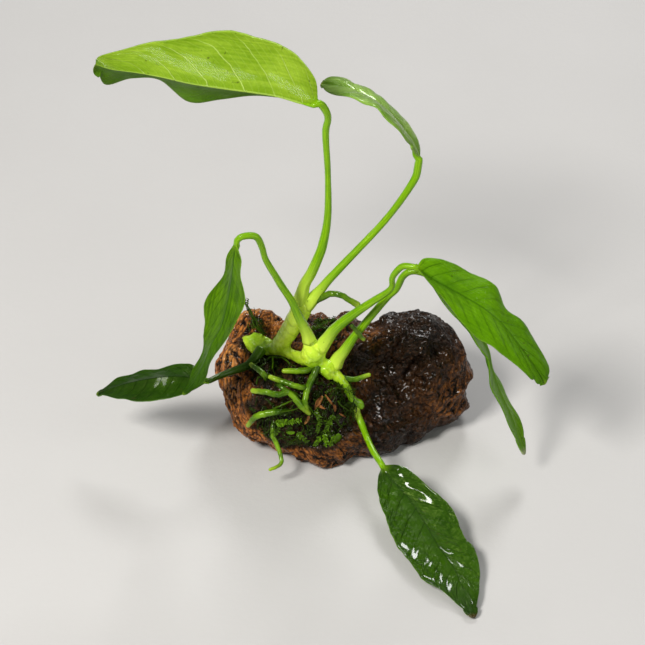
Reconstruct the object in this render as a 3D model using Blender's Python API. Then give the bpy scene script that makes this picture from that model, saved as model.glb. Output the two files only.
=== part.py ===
"""An anubias growing on a lump of driftwood.

The wood is one weathered burl with a bowl worn into its right end. A creeping rhizome lies on it.
Long leaf stalks rise from the rhizome and carry lance-shaped blades, and short roots stick out below.

Frame: +Z up, +X to the viewer's right, -Y towards the viewer. The origin is on the flat foot.
Every size and place below is in millimetres. Blender gets metres through MM.
"""

from math import cos, pi, radians, sin

import bmesh
import bpy
from mathutils import Matrix, Vector, noise

MM = 0.001
GAP = 0.3  # clearance between two pieces that touch
BALL_SUBDIVISIONS = 4  # of the balls that lobes, hollows and tufts are made from

# Driftwood: each lobe or hollow is centre, radii, then its turns about X and Z in degrees.
WOOD_LOBES = [
    ((-21, -3, 19), (35, 30, 25), 0, 12),
    ((-48, 4, 26), (14, 18, 16), 0, 0),
    ((-39, 20, 37), (14, 10, 13), 0, -20),
    ((-8, 12, 30), (34, 22, 20), 0, 0),
    ((30, 10, 25), (31, 25, 27), 0, -8),
    ((48, 4, 16), (14, 17, 17), 0, 0),
    ((-7, -22, 10), (26, 15, 13), 0, 0),
    ((-28, -14, 30), (18, 15, 15), 0, 0),
    ((19, -7, 9), (24, 20, 14), 0, -10),
]
WOOD_HOLLOWS = [
    ((25, -18, 39), (20, 18, 14), 52, 0),
    ((9, -23, 38), (9, 12, 16), 20, 0),
]
WOOD_VOXEL = 2.4
WOOD_SMOOTHING = (3, 2)  # steps before and after the hollows are cut
WOOD_TRIANGLES = 1950
WOOD_REACH = 150.0  # farther than any part of the wood
LUMP_SIZE, LUMP_HEIGHT = 17.0, 3.0
RIDGE_SIZE, RIDGE_HEIGHT = 8.0, 3.0
RING_CENTRE = Vector((24, -14, 36))  # the grain runs in rings round a line through the bowl
RING_AXIS = Vector((0, -0.79, 0.62))

# Rhizome: each run is a list of (x, y, z, radius).
RHIZOME_RUNS = [
    [(-34, -2, 46, 3.2), (-30.5, -4, 48.5, 4.1), (-26, -4.5, 56.5, 4.6), (-22.5, -4.5, 64, 4.8),
     (-19.5, -4, 70, 5.2), (-18.5, -4, 74, 4.6)],
    [(-43, 9, 45.5, 2.2), (-38.5, 5.5, 45, 3.2), (-34, 0, 46, 3.0)],
    [(-47.5, 8, 45, 1.8), (-44.5, 4.5, 44, 3.0), (-40.5, -0.5, 43.5, 2.8), (-35, -3, 45, 2.8)],
    [(-30, -4, 48, 3.2), (-24, -8, 47, 2.8), (-18, -12, 47.5, 4.0)],
    [(-16, -15, 46.5, 3.4), (-14.5, -14, 50, 5.6), (-13.5, -13, 53, 6.0), (-15.5, -12.5, 57.5, 3.8)],
    [(-13.5, -13.5, 52.5, 5.0), (-10, -12.5, 54.5, 4.0)],
    [(-13.5, -14, 49, 4.4), (-9, -14.5, 44.5, 3.8), (-4, -14, 45.5, 3.8)],
    [(-8.5, -15, 47, 2.8), (-7, -18, 44.5, 2.9), (-6.5, -19.5, 41.5, 1.4)],
    [(-7.5, -14.5, 44.5, 3.2), (0, -18.5, 39.5, 2.6), (4, -21, 32.5, 2.2), (6, -22, 27.5, 2.2)],
    [(5.5, -21, 29.5, 2.0), (8.5, -21, 29, 1.9), (9, -22, 26.5, 2.1)],
]
RHIZOME_RING, RHIZOME_SIDES = 3.0, 10
RHIZOME_VOXEL = 1.0
RHIZOME_SMOOTHING = 10
RHIZOME_TRIANGLES = 780

# Leaves: the stalk is a list of (x, y, z, radius). The blade has its midrib from stalk to tip, and
# its left and right margins, which leave out the ends that they share with the midrib. The tip is
# half the width at which the blade ends.
LEAVES = {
    "tall": {
        "tip": 2.0,
        "stalk": [(-20, -3.5, 75, 3.6), (-19, -3.5, 79.5, 3.2), (-17.5, -3, 85, 2.7),
                  (-14.5, -2.5, 91, 2.5), (-11.5, -1.5, 98.5, 2.3), (-9, 0, 106.5, 2.1),
                  (-7, 3, 119.5, 1.7), (-7, 7, 140.5, 1.4), (-8, 9, 159.5, 1.6), (-7, 9, 167, 1.6),
                  (-7.5, 8.5, 171, 1.7), (-9, 8, 174.5, 1.8), (-10.5, 7, 177, 1.6)],
        "midrib": [(-11.4, 7, 177), (-18, 9, 176), (-29, 13, 177), (-41, 18, 176), (-55, 23, 175),
                   (-69, 27, 175), (-82, 31, 176), (-93, 33, 177), (-104, 34, 178), (-111, 33, 181)],
        "left": [(-13, 13, 187), (-23, 22, 194), (-36, 29, 197), (-51, 35, 197), (-68, 39, 192),
                 (-82, 41, 188), (-96, 42, 184.5), (-109.5, 40, 181)],
        "right": [(-18, 17, 171), (-30, 26, 168), (-42, 32, 165), (-56, 37, 160), (-71, 41, 156),
                  (-84, 46, 165), (-96, 46, 165.5), (-108, 41, 165.5)],
    },
    "leaning": {
        "tip": 2.2,
        "stalk": [(-17, -4, 73, 3.7), (-14.5, -3.5, 76, 3.3), (-12.5, -3, 78.5, 2.8),
                  (-9.5, -2.5, 82.5, 2.2), (-6.5, -2, 86.5, 2.0), (2, 1, 95.5, 1.8), (16, 6, 110, 1.6),
                  (23, 8.5, 118.5, 1.6), (29.5, 11, 128, 1.7), (33, 13, 134, 1.8), (34, 14, 140, 1.8),
                  (34.3, 14, 142.6, 1.6)],
        "midrib": [(34.4, 14, 142.4), (32, 16, 149), (27, 19, 155), (21, 23, 161), (15, 28, 164),
                   (9, 33, 165), (2, 38, 165), (-4, 42, 164), (-10, 45, 163)],
        "left": [(30, 10, 152), (24, 8, 162), (18, 10, 168), (13, 14, 170), (7, 19, 170),
                 (-0.5, 27, 168), (-7.5, 37, 164)],
        "right": [(34, 22, 145), (31, 31, 148), (24, 36, 153), (18, 41, 158), (12, 45, 160),
                  (4, 48, 163), (-6.5, 48, 165)],
    },
    "left": {
        "tip": 0.6,
        "stalk": [(-15.5, -12.5, 59, 3.4), (-17, -12, 64, 2.7), (-20.5, -12.5, 73.5, 2.1),
                  (-23.5, -13, 82.5, 1.8), (-27.5, -14, 91, 1.7), (-31, -15, 99, 1.6),
                  (-35, -16, 108.5, 1.5), (-36.5, -17, 116, 1.5), (-38.5, -18, 122, 1.6),
                  (-41.5, -19, 124, 1.6), (-45.5, -20, 124, 1.5), (-47.5, -20, 122, 1.4)],
        "midrib": [(-48, -20.3, 121.6), (-49, -22, 114), (-50, -24, 105), (-52, -27, 93),
                   (-55, -31, 82), (-60, -33, 72), (-64, -34, 61), (-69, -33, 50), (-74, -31, 42)],
        "left": [(-52, -18, 112), (-55, -16, 99), (-63, -17, 85), (-64, -22, 75), (-64, -25, 67),
                 (-68, -28, 57), (-71, -30, 49)],
        "right": [(-46, -26, 116), (-46, -31, 110), (-44, -35, 99), (-49, -38, 88), (-55, -40, 78),
                  (-61, -39, 65), (-65, -36, 52)],
    },
    "right_upper": {
        "tip": 1.5,
        "stalk": [(-10, -12.5, 55, 3.5), (-7, -12.5, 60.5, 3.0), (-4, -13, 66, 2.6),
                  (1.5, -15, 73.5, 2.3), (7.5, -17, 80.5, 2.0), (14, -19, 87.5, 1.7),
                  (20, -21, 94, 1.5), (22, -21.5, 97.5, 1.4), (22, -22, 102.5, 1.4),
                  (24, -22.5, 107, 1.5), (27, -23, 110, 1.5), (32, -25, 111, 1.4)],
        "midrib": [(32.4, -25, 111), (37, -27, 108), (45, -31, 105), (54, -34, 101), (62, -38, 98),
                   (70, -41, 92), (77, -44, 84), (84, -47, 75), (91, -49, 63)],
        "left": [(37, -22, 114), (48, -22, 111), (58, -23, 106), (68, -26, 101), (74, -31, 92),
                 (83, -35, 84), (92.5, -43, 69.5)],
        "right": [(36, -30, 109), (44, -37, 103), (52, -42, 94), (60, -46, 87), (68, -49, 83),
                  (77, -51, 76), (86, -51, 65.5)],
    },
    "right_lower": {
        "tip": 2.6,
        "stalk": [(-3.5, -13.5, 45.5, 3.7), (-2, -13, 49, 3.2), (0.5, -13, 53, 2.6),
                  (4.5, -13, 60.5, 2.1), (8.5, -13, 67, 1.9), (17, -13, 80, 1.7), (21, -13, 85.5, 1.5),
                  (24, -13, 89, 1.5), (25.5, -13, 92.5, 1.6), (27, -13, 96.5, 1.6),
                  (29.5, -13.5, 99.5, 1.6), (32.5, -14, 100.5, 1.5), (35.6, -15, 100.5, 1.5)],
        "midrib": [(36, -15, 100), (44, -13, 91), (52, -13, 79), (60, -15, 68), (66.5, -18, 59),
                   (69, -22, 50), (73, -27, 40), (79, -31, 27.5), (85, -40, 13)],
        "left": [(41, -21, 96), (49, -24, 86), (58, -26, 74), (64.5, -29, 67), (67.5, -32, 58),
                 (70, -36, 46), (76, -39, 33)],
        "right": [(47, -5, 86), (56, -2, 72), (63, -3, 59), (68.5, -3, 47), (70.5, -12, 42),
                  (76, -18, 33), (83, -24, 22)],
    },
    "front": {
        "tip": 1.5,
        "stalk": [(6, -22, 27, 2.0), (7, -23.5, 23.5, 1.8), (9, -27, 20.5, 1.6), (11, -33, 18.5, 1.5),
                  (14, -43, 18, 1.5), (18, -52, 17.3, 1.5)],
        "midrib": [(18.2, -52.3, 17), (22, -58, 14), (30, -67, 10), (37, -80, 7), (43, -94, 5),
                   (49, -106, 4), (53, -119, 2.5), (57, -135, 1.2)],
        "left": [(16, -60, 14), (17, -71, 11), (21, -86, 8), (28, -102, 6), (36, -115, 5),
                 (46, -124, 3.4)],
        "right": [(28, -54, 18), (37, -63, 16), (48, -74, 12), (54, -88, 9), (60, -102, 6.5),
                  (60, -121, 4)],
    },
    "back_left": {
        "tip": 0.8,
        "stalk": [(-38, -3, 46.5, 2.7), (-43.5, -9, 42.5, 2.2), (-50.5, -12, 41, 1.8),
                  (-57, -16, 41, 1.5), (-62, -21, 42, 1.3)],
        "midrib": [(-62.4, -21.5, 42), (-72, -22, 45), (-83, -22, 45), (-95, -20, 41), (-106, -17, 35),
                   (-116, -14, 28)],
        "left": [(-71, -16, 48), (-83, -12, 43), (-95, -10, 39), (-106, -11, 35)],
        "right": [(-71, -29, 42), (-82, -32, 40), (-95, -30, 37), (-106, -24, 34)],
    },
}
TUBE_SIDES = 6  # of a stalk and of a root
STALK_RING = 6.0  # distance between rings on a straight stalk
ROOT_RING = 5.0
RINGS_PER_BEND = 1.6  # rings that a bend of one radian adds
CURVE_STEPS = 24  # short steps to each control point, to measure a curve by
BLADE_SPANS = 11
BLADE_STRIPS = 3  # strips in each half of a blade
BLADE_THICK = (1.1, 0.6)  # at the midrib and at the margin
BLADE_START = 1.4  # least half width at the stalk
BLADE_BULGE = 0.1  # how far each half arches, as a share of its width

# Roots: (x, y, z, radius) from the rhizome outwards.
ROOTS = {
    "root_aerial": [(-13.5, -4, 75.5, 1.7), (-9, -5, 79, 1.6), (-5.5, -6, 81.5, 1.5),
                    (-1, -7, 81.5, 1.4), (3.5, -8, 79, 1.4), (7, -8, 76.5, 1.6)],
    "root_crossing": [(4, -18, 72.5, 1.0), (7, -17.5, 67.5, 1.1), (9.5, -17, 63.5, 1.0)],
    "root_front_long": [(-11.5, -17, 47.5, 1.7), (-14.5, -22, 43.5, 1.6), (-16.5, -26.5, 41, 1.5),
                        (-17.5, -31, 36.5, 1.3), (-15.5, -31, 30.5, 1.0)],
    "root_front_short": [(-13, -14, 46, 1.8), (-15.5, -17.5, 46, 1.6), (-20, -20, 47, 1.5),
                         (-27.5, -20, 47, 1.2)],
    "root_front_slanting": [(-30, -23, 41, 1.2), (-28.5, -27.5, 43.5, 1.2), (-23, -30, 40, 1.4),
                            (-19.5, -32, 36, 1.5), (-15.5, -32, 31, 1.0)],
    "root_left_upper": [(-35, -20, 41, 1.4), (-37.5, -19, 45, 1.4), (-43, -12, 44.5, 1.1)],
    "root_left_middle": [(-14, -22, 38, 1.4), (-20, -27.5, 43.5, 1.3), (-27.5, -25, 44.5, 1.4),
                         (-34, -23, 46, 1.1)],
    "root_left_lower": [(-20, -26, 36, 1.4), (-25.5, -29, 41.5, 1.4), (-30, -30, 41, 1.5),
                        (-35.5, -30, 42.5, 1.4), (-42, -26, 40, 1.2)],
    "root_left_lowest": [(-24, -29, 30, 1.4), (-30.5, -33, 33, 1.5), (-33.5, -33, 32.5, 1.6),
                         (-40, -32.5, 30, 1.5), (-44.5, -31, 23, 1.1)],
    "root_hanging": [(-32, -30, 27, 1.3), (-32.5, -34, 24, 1.3), (-32.5, -36, 21, 1.2),
                     (-30.5, -39, 17.5, 1.1), (-28.5, -44, 13.5, 1.0), (-29.5, -46, 11.5, 0.9),
                     (-34, -48, 10.5, 0.8)],
    "root_right": [(-5, -15, 42, 1.6), (-1.5, -17, 41, 1.4), (5.5, -17, 39.5, 1.3),
                   (12.5, -16, 41.5, 1.0)],
}

# Moss: each cushion of a tuft is centre, radii, then its turns about X and Z in degrees.
MOSS_TUFTS = {
    "moss_front": [((-17, -26, 30), (26, 7, 19), -33, 6), ((-31, -15, 42), (12, 10, 4.5), 12, 0)],
    "moss_middle": [((-8, 8, 49), (8, 8, 5), 0, 0)],
    "moss_left": [((-40, 13, 46), (6, 5, 5), 0, 0), ((-42, 8.5, 56.5), (2.6, 2.6, 12.5), 27, -118)],
}
MOSS_VOXEL = 1.2
MOSS_SMOOTHING = 2
MOSS_LUMP_SIZE, MOSS_LUMP_HEIGHT = 9.0, 3.0
MOSS_FINENESS = 0.04  # triangles to a square millimetre of cushion

COLOURS = {
    "wood": ((0.16, 0.07, 0.035), 0.6),
    "rhizome": ((0.42, 0.62, 0.06), 0.35),
    "stalk": ((0.30, 0.52, 0.04), 0.35),
    "leaf": ((0.11, 0.30, 0.015), 0.3),
    "root": ((0.34, 0.50, 0.05), 0.45),
    "moss": ((0.05, 0.12, 0.015), 0.8),
}


def clear_scene():
    for obj in list(bpy.data.objects):
        bpy.data.objects.remove(obj)


def material(name):
    found = bpy.data.materials.get(name)
    if found:
        return found
    colour, roughness = COLOURS[name]
    made = bpy.data.materials.new(name)
    made.use_nodes = True
    shader = made.node_tree.nodes["Principled BSDF"]
    shader.inputs["Base Color"].default_value = (*colour, 1)
    shader.inputs["Roughness"].default_value = roughness
    return made


def add_object(name, mesh, finish):
    obj = bpy.data.objects.new(name, mesh)
    bpy.context.scene.collection.objects.link(obj)
    mesh.materials.clear()
    mesh.materials.append(material(finish))
    mesh.shade_smooth()
    return obj


def mesh_from(name, points, faces):
    """A mesh from points in millimetres, with its faces turned outwards."""
    mesh = bpy.data.meshes.new(name)
    mesh.from_pydata([Vector(p) * MM for p in points], [], faces)
    shape = bmesh.new()
    shape.from_mesh(mesh)
    bmesh.ops.recalc_face_normals(shape, faces=shape.faces)
    shape.to_mesh(mesh)
    shape.free()
    return mesh


def bake(obj):
    """Applies an object's modifiers to its mesh."""
    graph = bpy.context.evaluated_depsgraph_get()
    mesh = bpy.data.meshes.new_from_object(obj.evaluated_get(graph))
    obj.modifiers.clear()
    obj.data = mesh
    return obj


def hide(obj):
    """Marks an object as a cutter, which isn't a piece."""
    obj.hide_render = True
    obj.display_type = "WIRE"
    return obj


def ellipsoids(name, blobs, finish):
    """One object that holds an ellipsoid for each (centre, radii, turn about X, turn about Z)."""
    shape = bmesh.new()
    for centre, radii, turn_x, turn_z in blobs:
        place = (
            Matrix.Translation(Vector(centre) * MM)
            @ Matrix.Rotation(radians(turn_z), 4, "Z")
            @ Matrix.Rotation(radians(turn_x), 4, "X")
            @ Matrix.Diagonal((*[r * MM for r in radii], 1))
        )
        bmesh.ops.create_icosphere(shape, subdivisions=BALL_SUBDIVISIONS, radius=1, matrix=place)
    mesh = bpy.data.meshes.new(name)
    shape.to_mesh(mesh)
    shape.free()
    return add_object(name, mesh, finish)


def fuse(obj, voxel, smooth_steps):
    """Joins overlapping closed shapes into one skin and softens it."""
    remesh = obj.modifiers.new("fuse", "REMESH")
    remesh.mode = "VOXEL"
    remesh.voxel_size = voxel * MM
    soften = obj.modifiers.new("soften", "SMOOTH")
    soften.iterations = smooth_steps
    return bake(obj)


def thin_out(obj, triangles):
    """Brings a mesh down to about this many triangles."""
    count = sum(len(face.vertices) - 2 for face in obj.data.polygons)
    if count > triangles:
        decimate = obj.modifiers.new("thin_out", "DECIMATE")
        decimate.ratio = triangles / count
        decimate.use_collapse_triangulate = True
        bake(obj)
    return obj


def subtract(obj, cutter):
    cut = obj.modifiers.new("cut", "BOOLEAN")
    cut.operation = "DIFFERENCE"
    cut.object = cutter
    return bake(obj)


def grown(obj):
    """A cutter that is the object made larger by the gap, all over."""
    cutter = bpy.data.objects.new(obj.name + "_clearance", obj.data.copy())
    bpy.context.scene.collection.objects.link(cutter)
    grow = cutter.modifiers.new("grow", "DISPLACE")
    grow.strength = GAP * MM
    grow.mid_level = 0
    return hide(bake(cutter))


def curve_at(points, t):
    """The place at share t on a smooth curve that passes its control points at equal shares."""
    last = len(points) - 1
    i = min(int(t * last), last - 1)
    f = t * last - i
    b, c = points[i], points[i + 1]
    a = points[i - 1] if i > 0 else 2 * b - c
    d = points[i + 2] if i + 2 <= last else 2 * c - b
    square = 2 * a - 5 * b + 4 * c - d
    cube = 3 * b - a - 3 * c + d
    return 0.5 * (2 * b + (c - a) * f + square * f**2 + cube * f**3)


def rings_along(points, ring):
    """Places along a curve, about a ring's distance apart, and closer together where it bends."""
    nodes = [Vector(p) for p in points]
    steps = CURVE_STEPS * len(nodes)
    dense = [curve_at(nodes, i / steps) for i in range(steps + 1)]
    measure = [0.0]
    for before, here, after in zip(dense, dense[1:], [*dense[2:], dense[-1]]):
        stride = here.to_3d() - before.to_3d()
        onward = after.to_3d() - here.to_3d()
        bend = stride.angle(onward, 0.0)
        measure.append(measure[-1] + stride.length + bend * ring * RINGS_PER_BEND)
    count = max(3, round(measure[-1] / ring))
    places = []
    j = 0
    for i in range(count + 1):
        wanted = measure[-1] * i / count
        while j < steps - 1 and measure[j + 1] < wanted:
            j += 1
        share = (wanted - measure[j]) / (measure[j + 1] - measure[j])
        places.append(dense[j].lerp(dense[j + 1], min(max(share, 0), 1)))
    return places


def tangents(path):
    ends = [path[0], *path, path[-1]]
    return [(ends[i + 2].to_3d() - ends[i].to_3d()).normalized() for i in range(len(path))]


def tube_mesh(name, points, ring, sides, round_tip):
    """A tube along a curve, flat at its start."""
    path = rings_along(points, ring)
    along = tangents(path)
    side = along[0].orthogonal().normalized()
    rings = []
    for centre, direction in zip(path, along):
        side = (side - side.dot(direction) * direction).normalized()
        rings.append((centre.to_3d(), direction, side, centre[3]))
    if round_tip:
        centre, direction, side, radius = rings[-1]
        rings.append((centre + direction * radius * 0.6, direction, side, radius * 0.6))
    vertices = []
    for centre, direction, side, radius in rings:
        other = direction.cross(side)
        for k in range(sides):
            angle = 2 * pi * k / sides
            vertices.append(centre + radius * (cos(angle) * side + sin(angle) * other))
    faces = [tuple(range(sides)), tuple(range(len(vertices) - sides, len(vertices)))]
    for i in range(len(rings) - 1):
        for k in range(sides):
            a, b = i * sides + k, i * sides + (k + 1) % sides
            faces.append((a, b, b + sides, a + sides))
    return mesh_from(name, vertices, faces)


def driftwood():
    before, after = WOOD_SMOOTHING
    obj = fuse(ellipsoids("driftwood", WOOD_LOBES, "wood"), WOOD_VOXEL, before)
    for hollow in WOOD_HOLLOWS:
        subtract(obj, hide(ellipsoids("driftwood_hollow", [hollow], "wood")))
    fuse(obj, WOOD_VOXEL, after)
    weather(obj.data)
    thin_out(obj, WOOD_TRIANGLES)
    return subtract(obj, ground())


def weather(mesh):
    """Pushes the skin in and out: broad lumps, and ridges that run in rings round the bowl."""
    moves = []
    for vertex in mesh.vertices:
        place = vertex.co / MM
        lump = noise.fractal(place / LUMP_SIZE, 1.0, 2.0, 3)
        from_centre = place - RING_CENTRE
        depth = from_centre.dot(RING_AXIS)
        across = from_centre - depth * RING_AXIS
        turn = across.normalized() * 3
        grain = Vector((across.length / RIDGE_SIZE, turn.x, turn.z + depth / (3 * RIDGE_SIZE)))
        ridge = 0.5 - 2 * abs(noise.noise(grain))
        moves.append(vertex.normal * (lump * LUMP_HEIGHT + ridge * RIDGE_HEIGHT) * MM)
    for vertex, move in zip(mesh.vertices, moves):
        vertex.co += move


def ground():
    """A cutter that fills the space below the foot, wider and deeper than the wood."""
    half, depth = WOOD_REACH, WOOD_REACH
    rim = [(-half, -half), (half, -half), (half, half), (-half, half)]
    points = [(x, y, z) for z in (0, -depth) for x, y in rim]
    faces = [(0, 1, 2, 3), (4, 5, 6, 7), (0, 1, 5, 4), (1, 2, 6, 5), (2, 3, 7, 6), (3, 0, 4, 7)]
    return hide(add_object("ground", mesh_from("ground", points, faces), "wood"))


def rhizome():
    shape = bmesh.new()
    for run in RHIZOME_RUNS:
        shape.from_mesh(tube_mesh("run", run, RHIZOME_RING, RHIZOME_SIDES, True))
    mesh = bpy.data.meshes.new("rhizome")
    shape.to_mesh(mesh)
    shape.free()
    obj = fuse(add_object("rhizome", mesh, "rhizome"), RHIZOME_VOXEL, RHIZOME_SMOOTHING)
    return thin_out(obj, RHIZOME_TRIANGLES)


def stalk(name, points):
    return add_object(name, tube_mesh(name, points, STALK_RING, TUBE_SIDES, False), "stalk")


def root(name, points):
    return add_object(name, tube_mesh(name, points, ROOT_RING, TUBE_SIDES, True), "root")


def margin_offset(margin, rib, least, spare_side):
    """From midrib to margin, and never less than the blade's least half width there."""
    offset = margin - rib
    if offset.length >= least:
        return offset
    return spare_side * least


def blade(name, leaf):
    """A thin closed blade between its two margins, with each half arched a little."""
    midrib = [Vector(p) for p in leaf["midrib"]]
    margins = [
        [midrib[0], *[Vector(p) for p in leaf[side]], midrib[-1]] for side in ("left", "right")
    ]
    spare_sides = [
        (margin[1] - curve_at(midrib, 1 / (len(margin) - 1))).normalized() for margin in margins
    ]
    upper, lower = [], []
    for i in range(BLADE_SPANS + 1):
        t = i / BLADE_SPANS
        rib = curve_at(midrib, t)
        direction = curve_at(midrib, min(1, t + 0.02)) - curve_at(midrib, max(0, t - 0.02))
        least = BLADE_START * (1 - t) + leaf["tip"] * t
        left, right = (
            margin_offset(curve_at(margin, t), rib, least, spare)
            for margin, spare in zip(margins, spare_sides)
        )
        normal = direction.cross(left - right).normalized()
        for k in range(-BLADE_STRIPS, BLADE_STRIPS + 1):
            s = abs(k) / BLADE_STRIPS
            offset = left if k > 0 else right
            arch = 4 * s * (1 - s) * BLADE_BULGE * offset.length
            thick = BLADE_THICK[0] + (BLADE_THICK[1] - BLADE_THICK[0]) * s
            skin = rib + offset * s + normal * arch
            upper.append(skin + normal * thick / 2)
            lower.append(skin - normal * thick / 2)
    return add_object(name, closed_sheet(name, upper, lower, 2 * BLADE_STRIPS + 1), "leaf")


def closed_sheet(name, upper, lower, row):
    """Joins two grids of the same size, row points wide, into one closed mesh."""
    rows = len(upper) // row
    under = len(upper)
    faces = []
    for i in range(rows - 1):
        for k in range(row - 1):
            a = i * row + k
            faces.append((a, a + 1, a + row + 1, a + row))
            faces.append((under + a, under + a + row, under + a + row + 1, under + a + 1))
        for k in (0, row - 1):
            a = i * row + k
            faces.append((a, a + row, under + a + row, under + a))
    for i in (0, rows - 1):
        for k in range(row - 1):
            a = i * row + k
            faces.append((a, a + 1, under + a + 1, under + a))
    return mesh_from(name, upper + lower, faces)


def tuft(name, cushions):
    obj = fuse(ellipsoids(name, cushions, "moss"), MOSS_VOXEL, MOSS_SMOOTHING)
    for vertex in obj.data.vertices:
        lump = noise.noise(vertex.co / MM / MOSS_LUMP_SIZE)
        vertex.co += vertex.normal * lump * MOSS_LUMP_HEIGHT * MM
    skin = sum(face.area for face in obj.data.polygons) / MM**2
    return thin_out(obj, MOSS_FINENESS * skin)


def boxes_meet(one, other):
    """Whether the boxes round two objects reach each other."""
    corners = [[obj.matrix_world @ Vector(corner) for corner in obj.bound_box] for obj in (one, other)]
    for axis in range(3):
        spans = [(min(c[axis] for c in box), max(c[axis] for c in box)) for box in corners]
        if spans[0][1] < spans[1][0] or spans[1][1] < spans[0][0]:
            return False
    return True


def drop_crumbs(mesh):
    """Keeps only the largest of the bodies that cutting has left in a mesh."""
    shape = bmesh.new()
    shape.from_mesh(mesh)
    bodies = []
    left = set(shape.verts)
    while left:
        body = set()
        edge_of_body = {left.pop()}
        while edge_of_body:
            body |= edge_of_body
            edge_of_body = {e.other_vert(v) for v in edge_of_body for e in v.link_edges} - body
        left -= body
        bodies.append(body)
    bodies.sort(key=len)
    for crumb in bodies[:-1]:
        bmesh.ops.delete(shape, geom=list(crumb), context="VERTS")
    shape.to_mesh(mesh)
    shape.free()


def fit(piece, clearances):
    """Cuts a piece back from every earlier piece that it reaches, and adds its own clearance."""
    own = grown(piece)
    for clearance in clearances:
        if boxes_meet(piece, clearance):
            subtract(piece, clearance)
    drop_crumbs(piece.data)
    clearances.append(own)


def build():
    clear_scene()
    clearances = [grown(driftwood())]
    fit(rhizome(), clearances)
    for name, leaf in LEAVES.items():
        fit(stalk("stalk_" + name, leaf["stalk"]), clearances)
    for name, leaf in LEAVES.items():
        fit(blade("leaf_" + name, leaf), clearances)
    for name, cushions in MOSS_TUFTS.items():
        fit(tuft(name, cushions), clearances)
    for name, points in ROOTS.items():
        fit(root(name, points), clearances)


build()
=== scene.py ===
"""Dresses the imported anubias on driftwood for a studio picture.

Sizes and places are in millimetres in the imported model's frame, and MM turns them into metres. Each
blade, stalk and root is made anew from its control points, finer than the solid that it stands for.
The wood and the rhizome are fine skins over their solids. The moss is strands, leafy sprigs and
scraps that are laid on the solids of its tufts.
"""

from functools import reduce
from math import cos, pi, radians, sin
from types import SimpleNamespace

import bmesh
import bpy
import numpy as np
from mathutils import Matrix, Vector, noise
from mathutils.bvhtree import BVHTree


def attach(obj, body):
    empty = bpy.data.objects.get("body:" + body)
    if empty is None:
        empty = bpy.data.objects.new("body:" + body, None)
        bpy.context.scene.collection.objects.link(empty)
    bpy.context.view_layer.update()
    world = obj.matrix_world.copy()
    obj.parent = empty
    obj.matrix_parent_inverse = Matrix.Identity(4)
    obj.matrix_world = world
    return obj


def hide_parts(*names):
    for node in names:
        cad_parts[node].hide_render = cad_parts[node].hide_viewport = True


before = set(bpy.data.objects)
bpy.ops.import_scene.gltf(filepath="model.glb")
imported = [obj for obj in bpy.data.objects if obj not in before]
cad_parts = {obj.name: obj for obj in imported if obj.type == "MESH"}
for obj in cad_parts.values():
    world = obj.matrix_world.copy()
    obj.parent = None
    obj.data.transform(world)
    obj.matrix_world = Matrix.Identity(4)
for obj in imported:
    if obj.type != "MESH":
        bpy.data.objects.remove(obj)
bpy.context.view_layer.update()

MM = 0.001
DRAWS = np.random.default_rng(7)

# Camera: the photograph's viewing angle, aimed at the place that it shows at the middle.
CAMERA_ELEVATION = radians(38)
CAMERA_DISTANCE = 1100
CAMERA_AIM = Vector((-9.4, 0, 60))
CAMERA_LENS = 131
CAMERA_EYE = CAMERA_AIM - Vector((0, cos(CAMERA_ELEVATION), -sin(CAMERA_ELEVATION))) * CAMERA_DISTANCE

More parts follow.
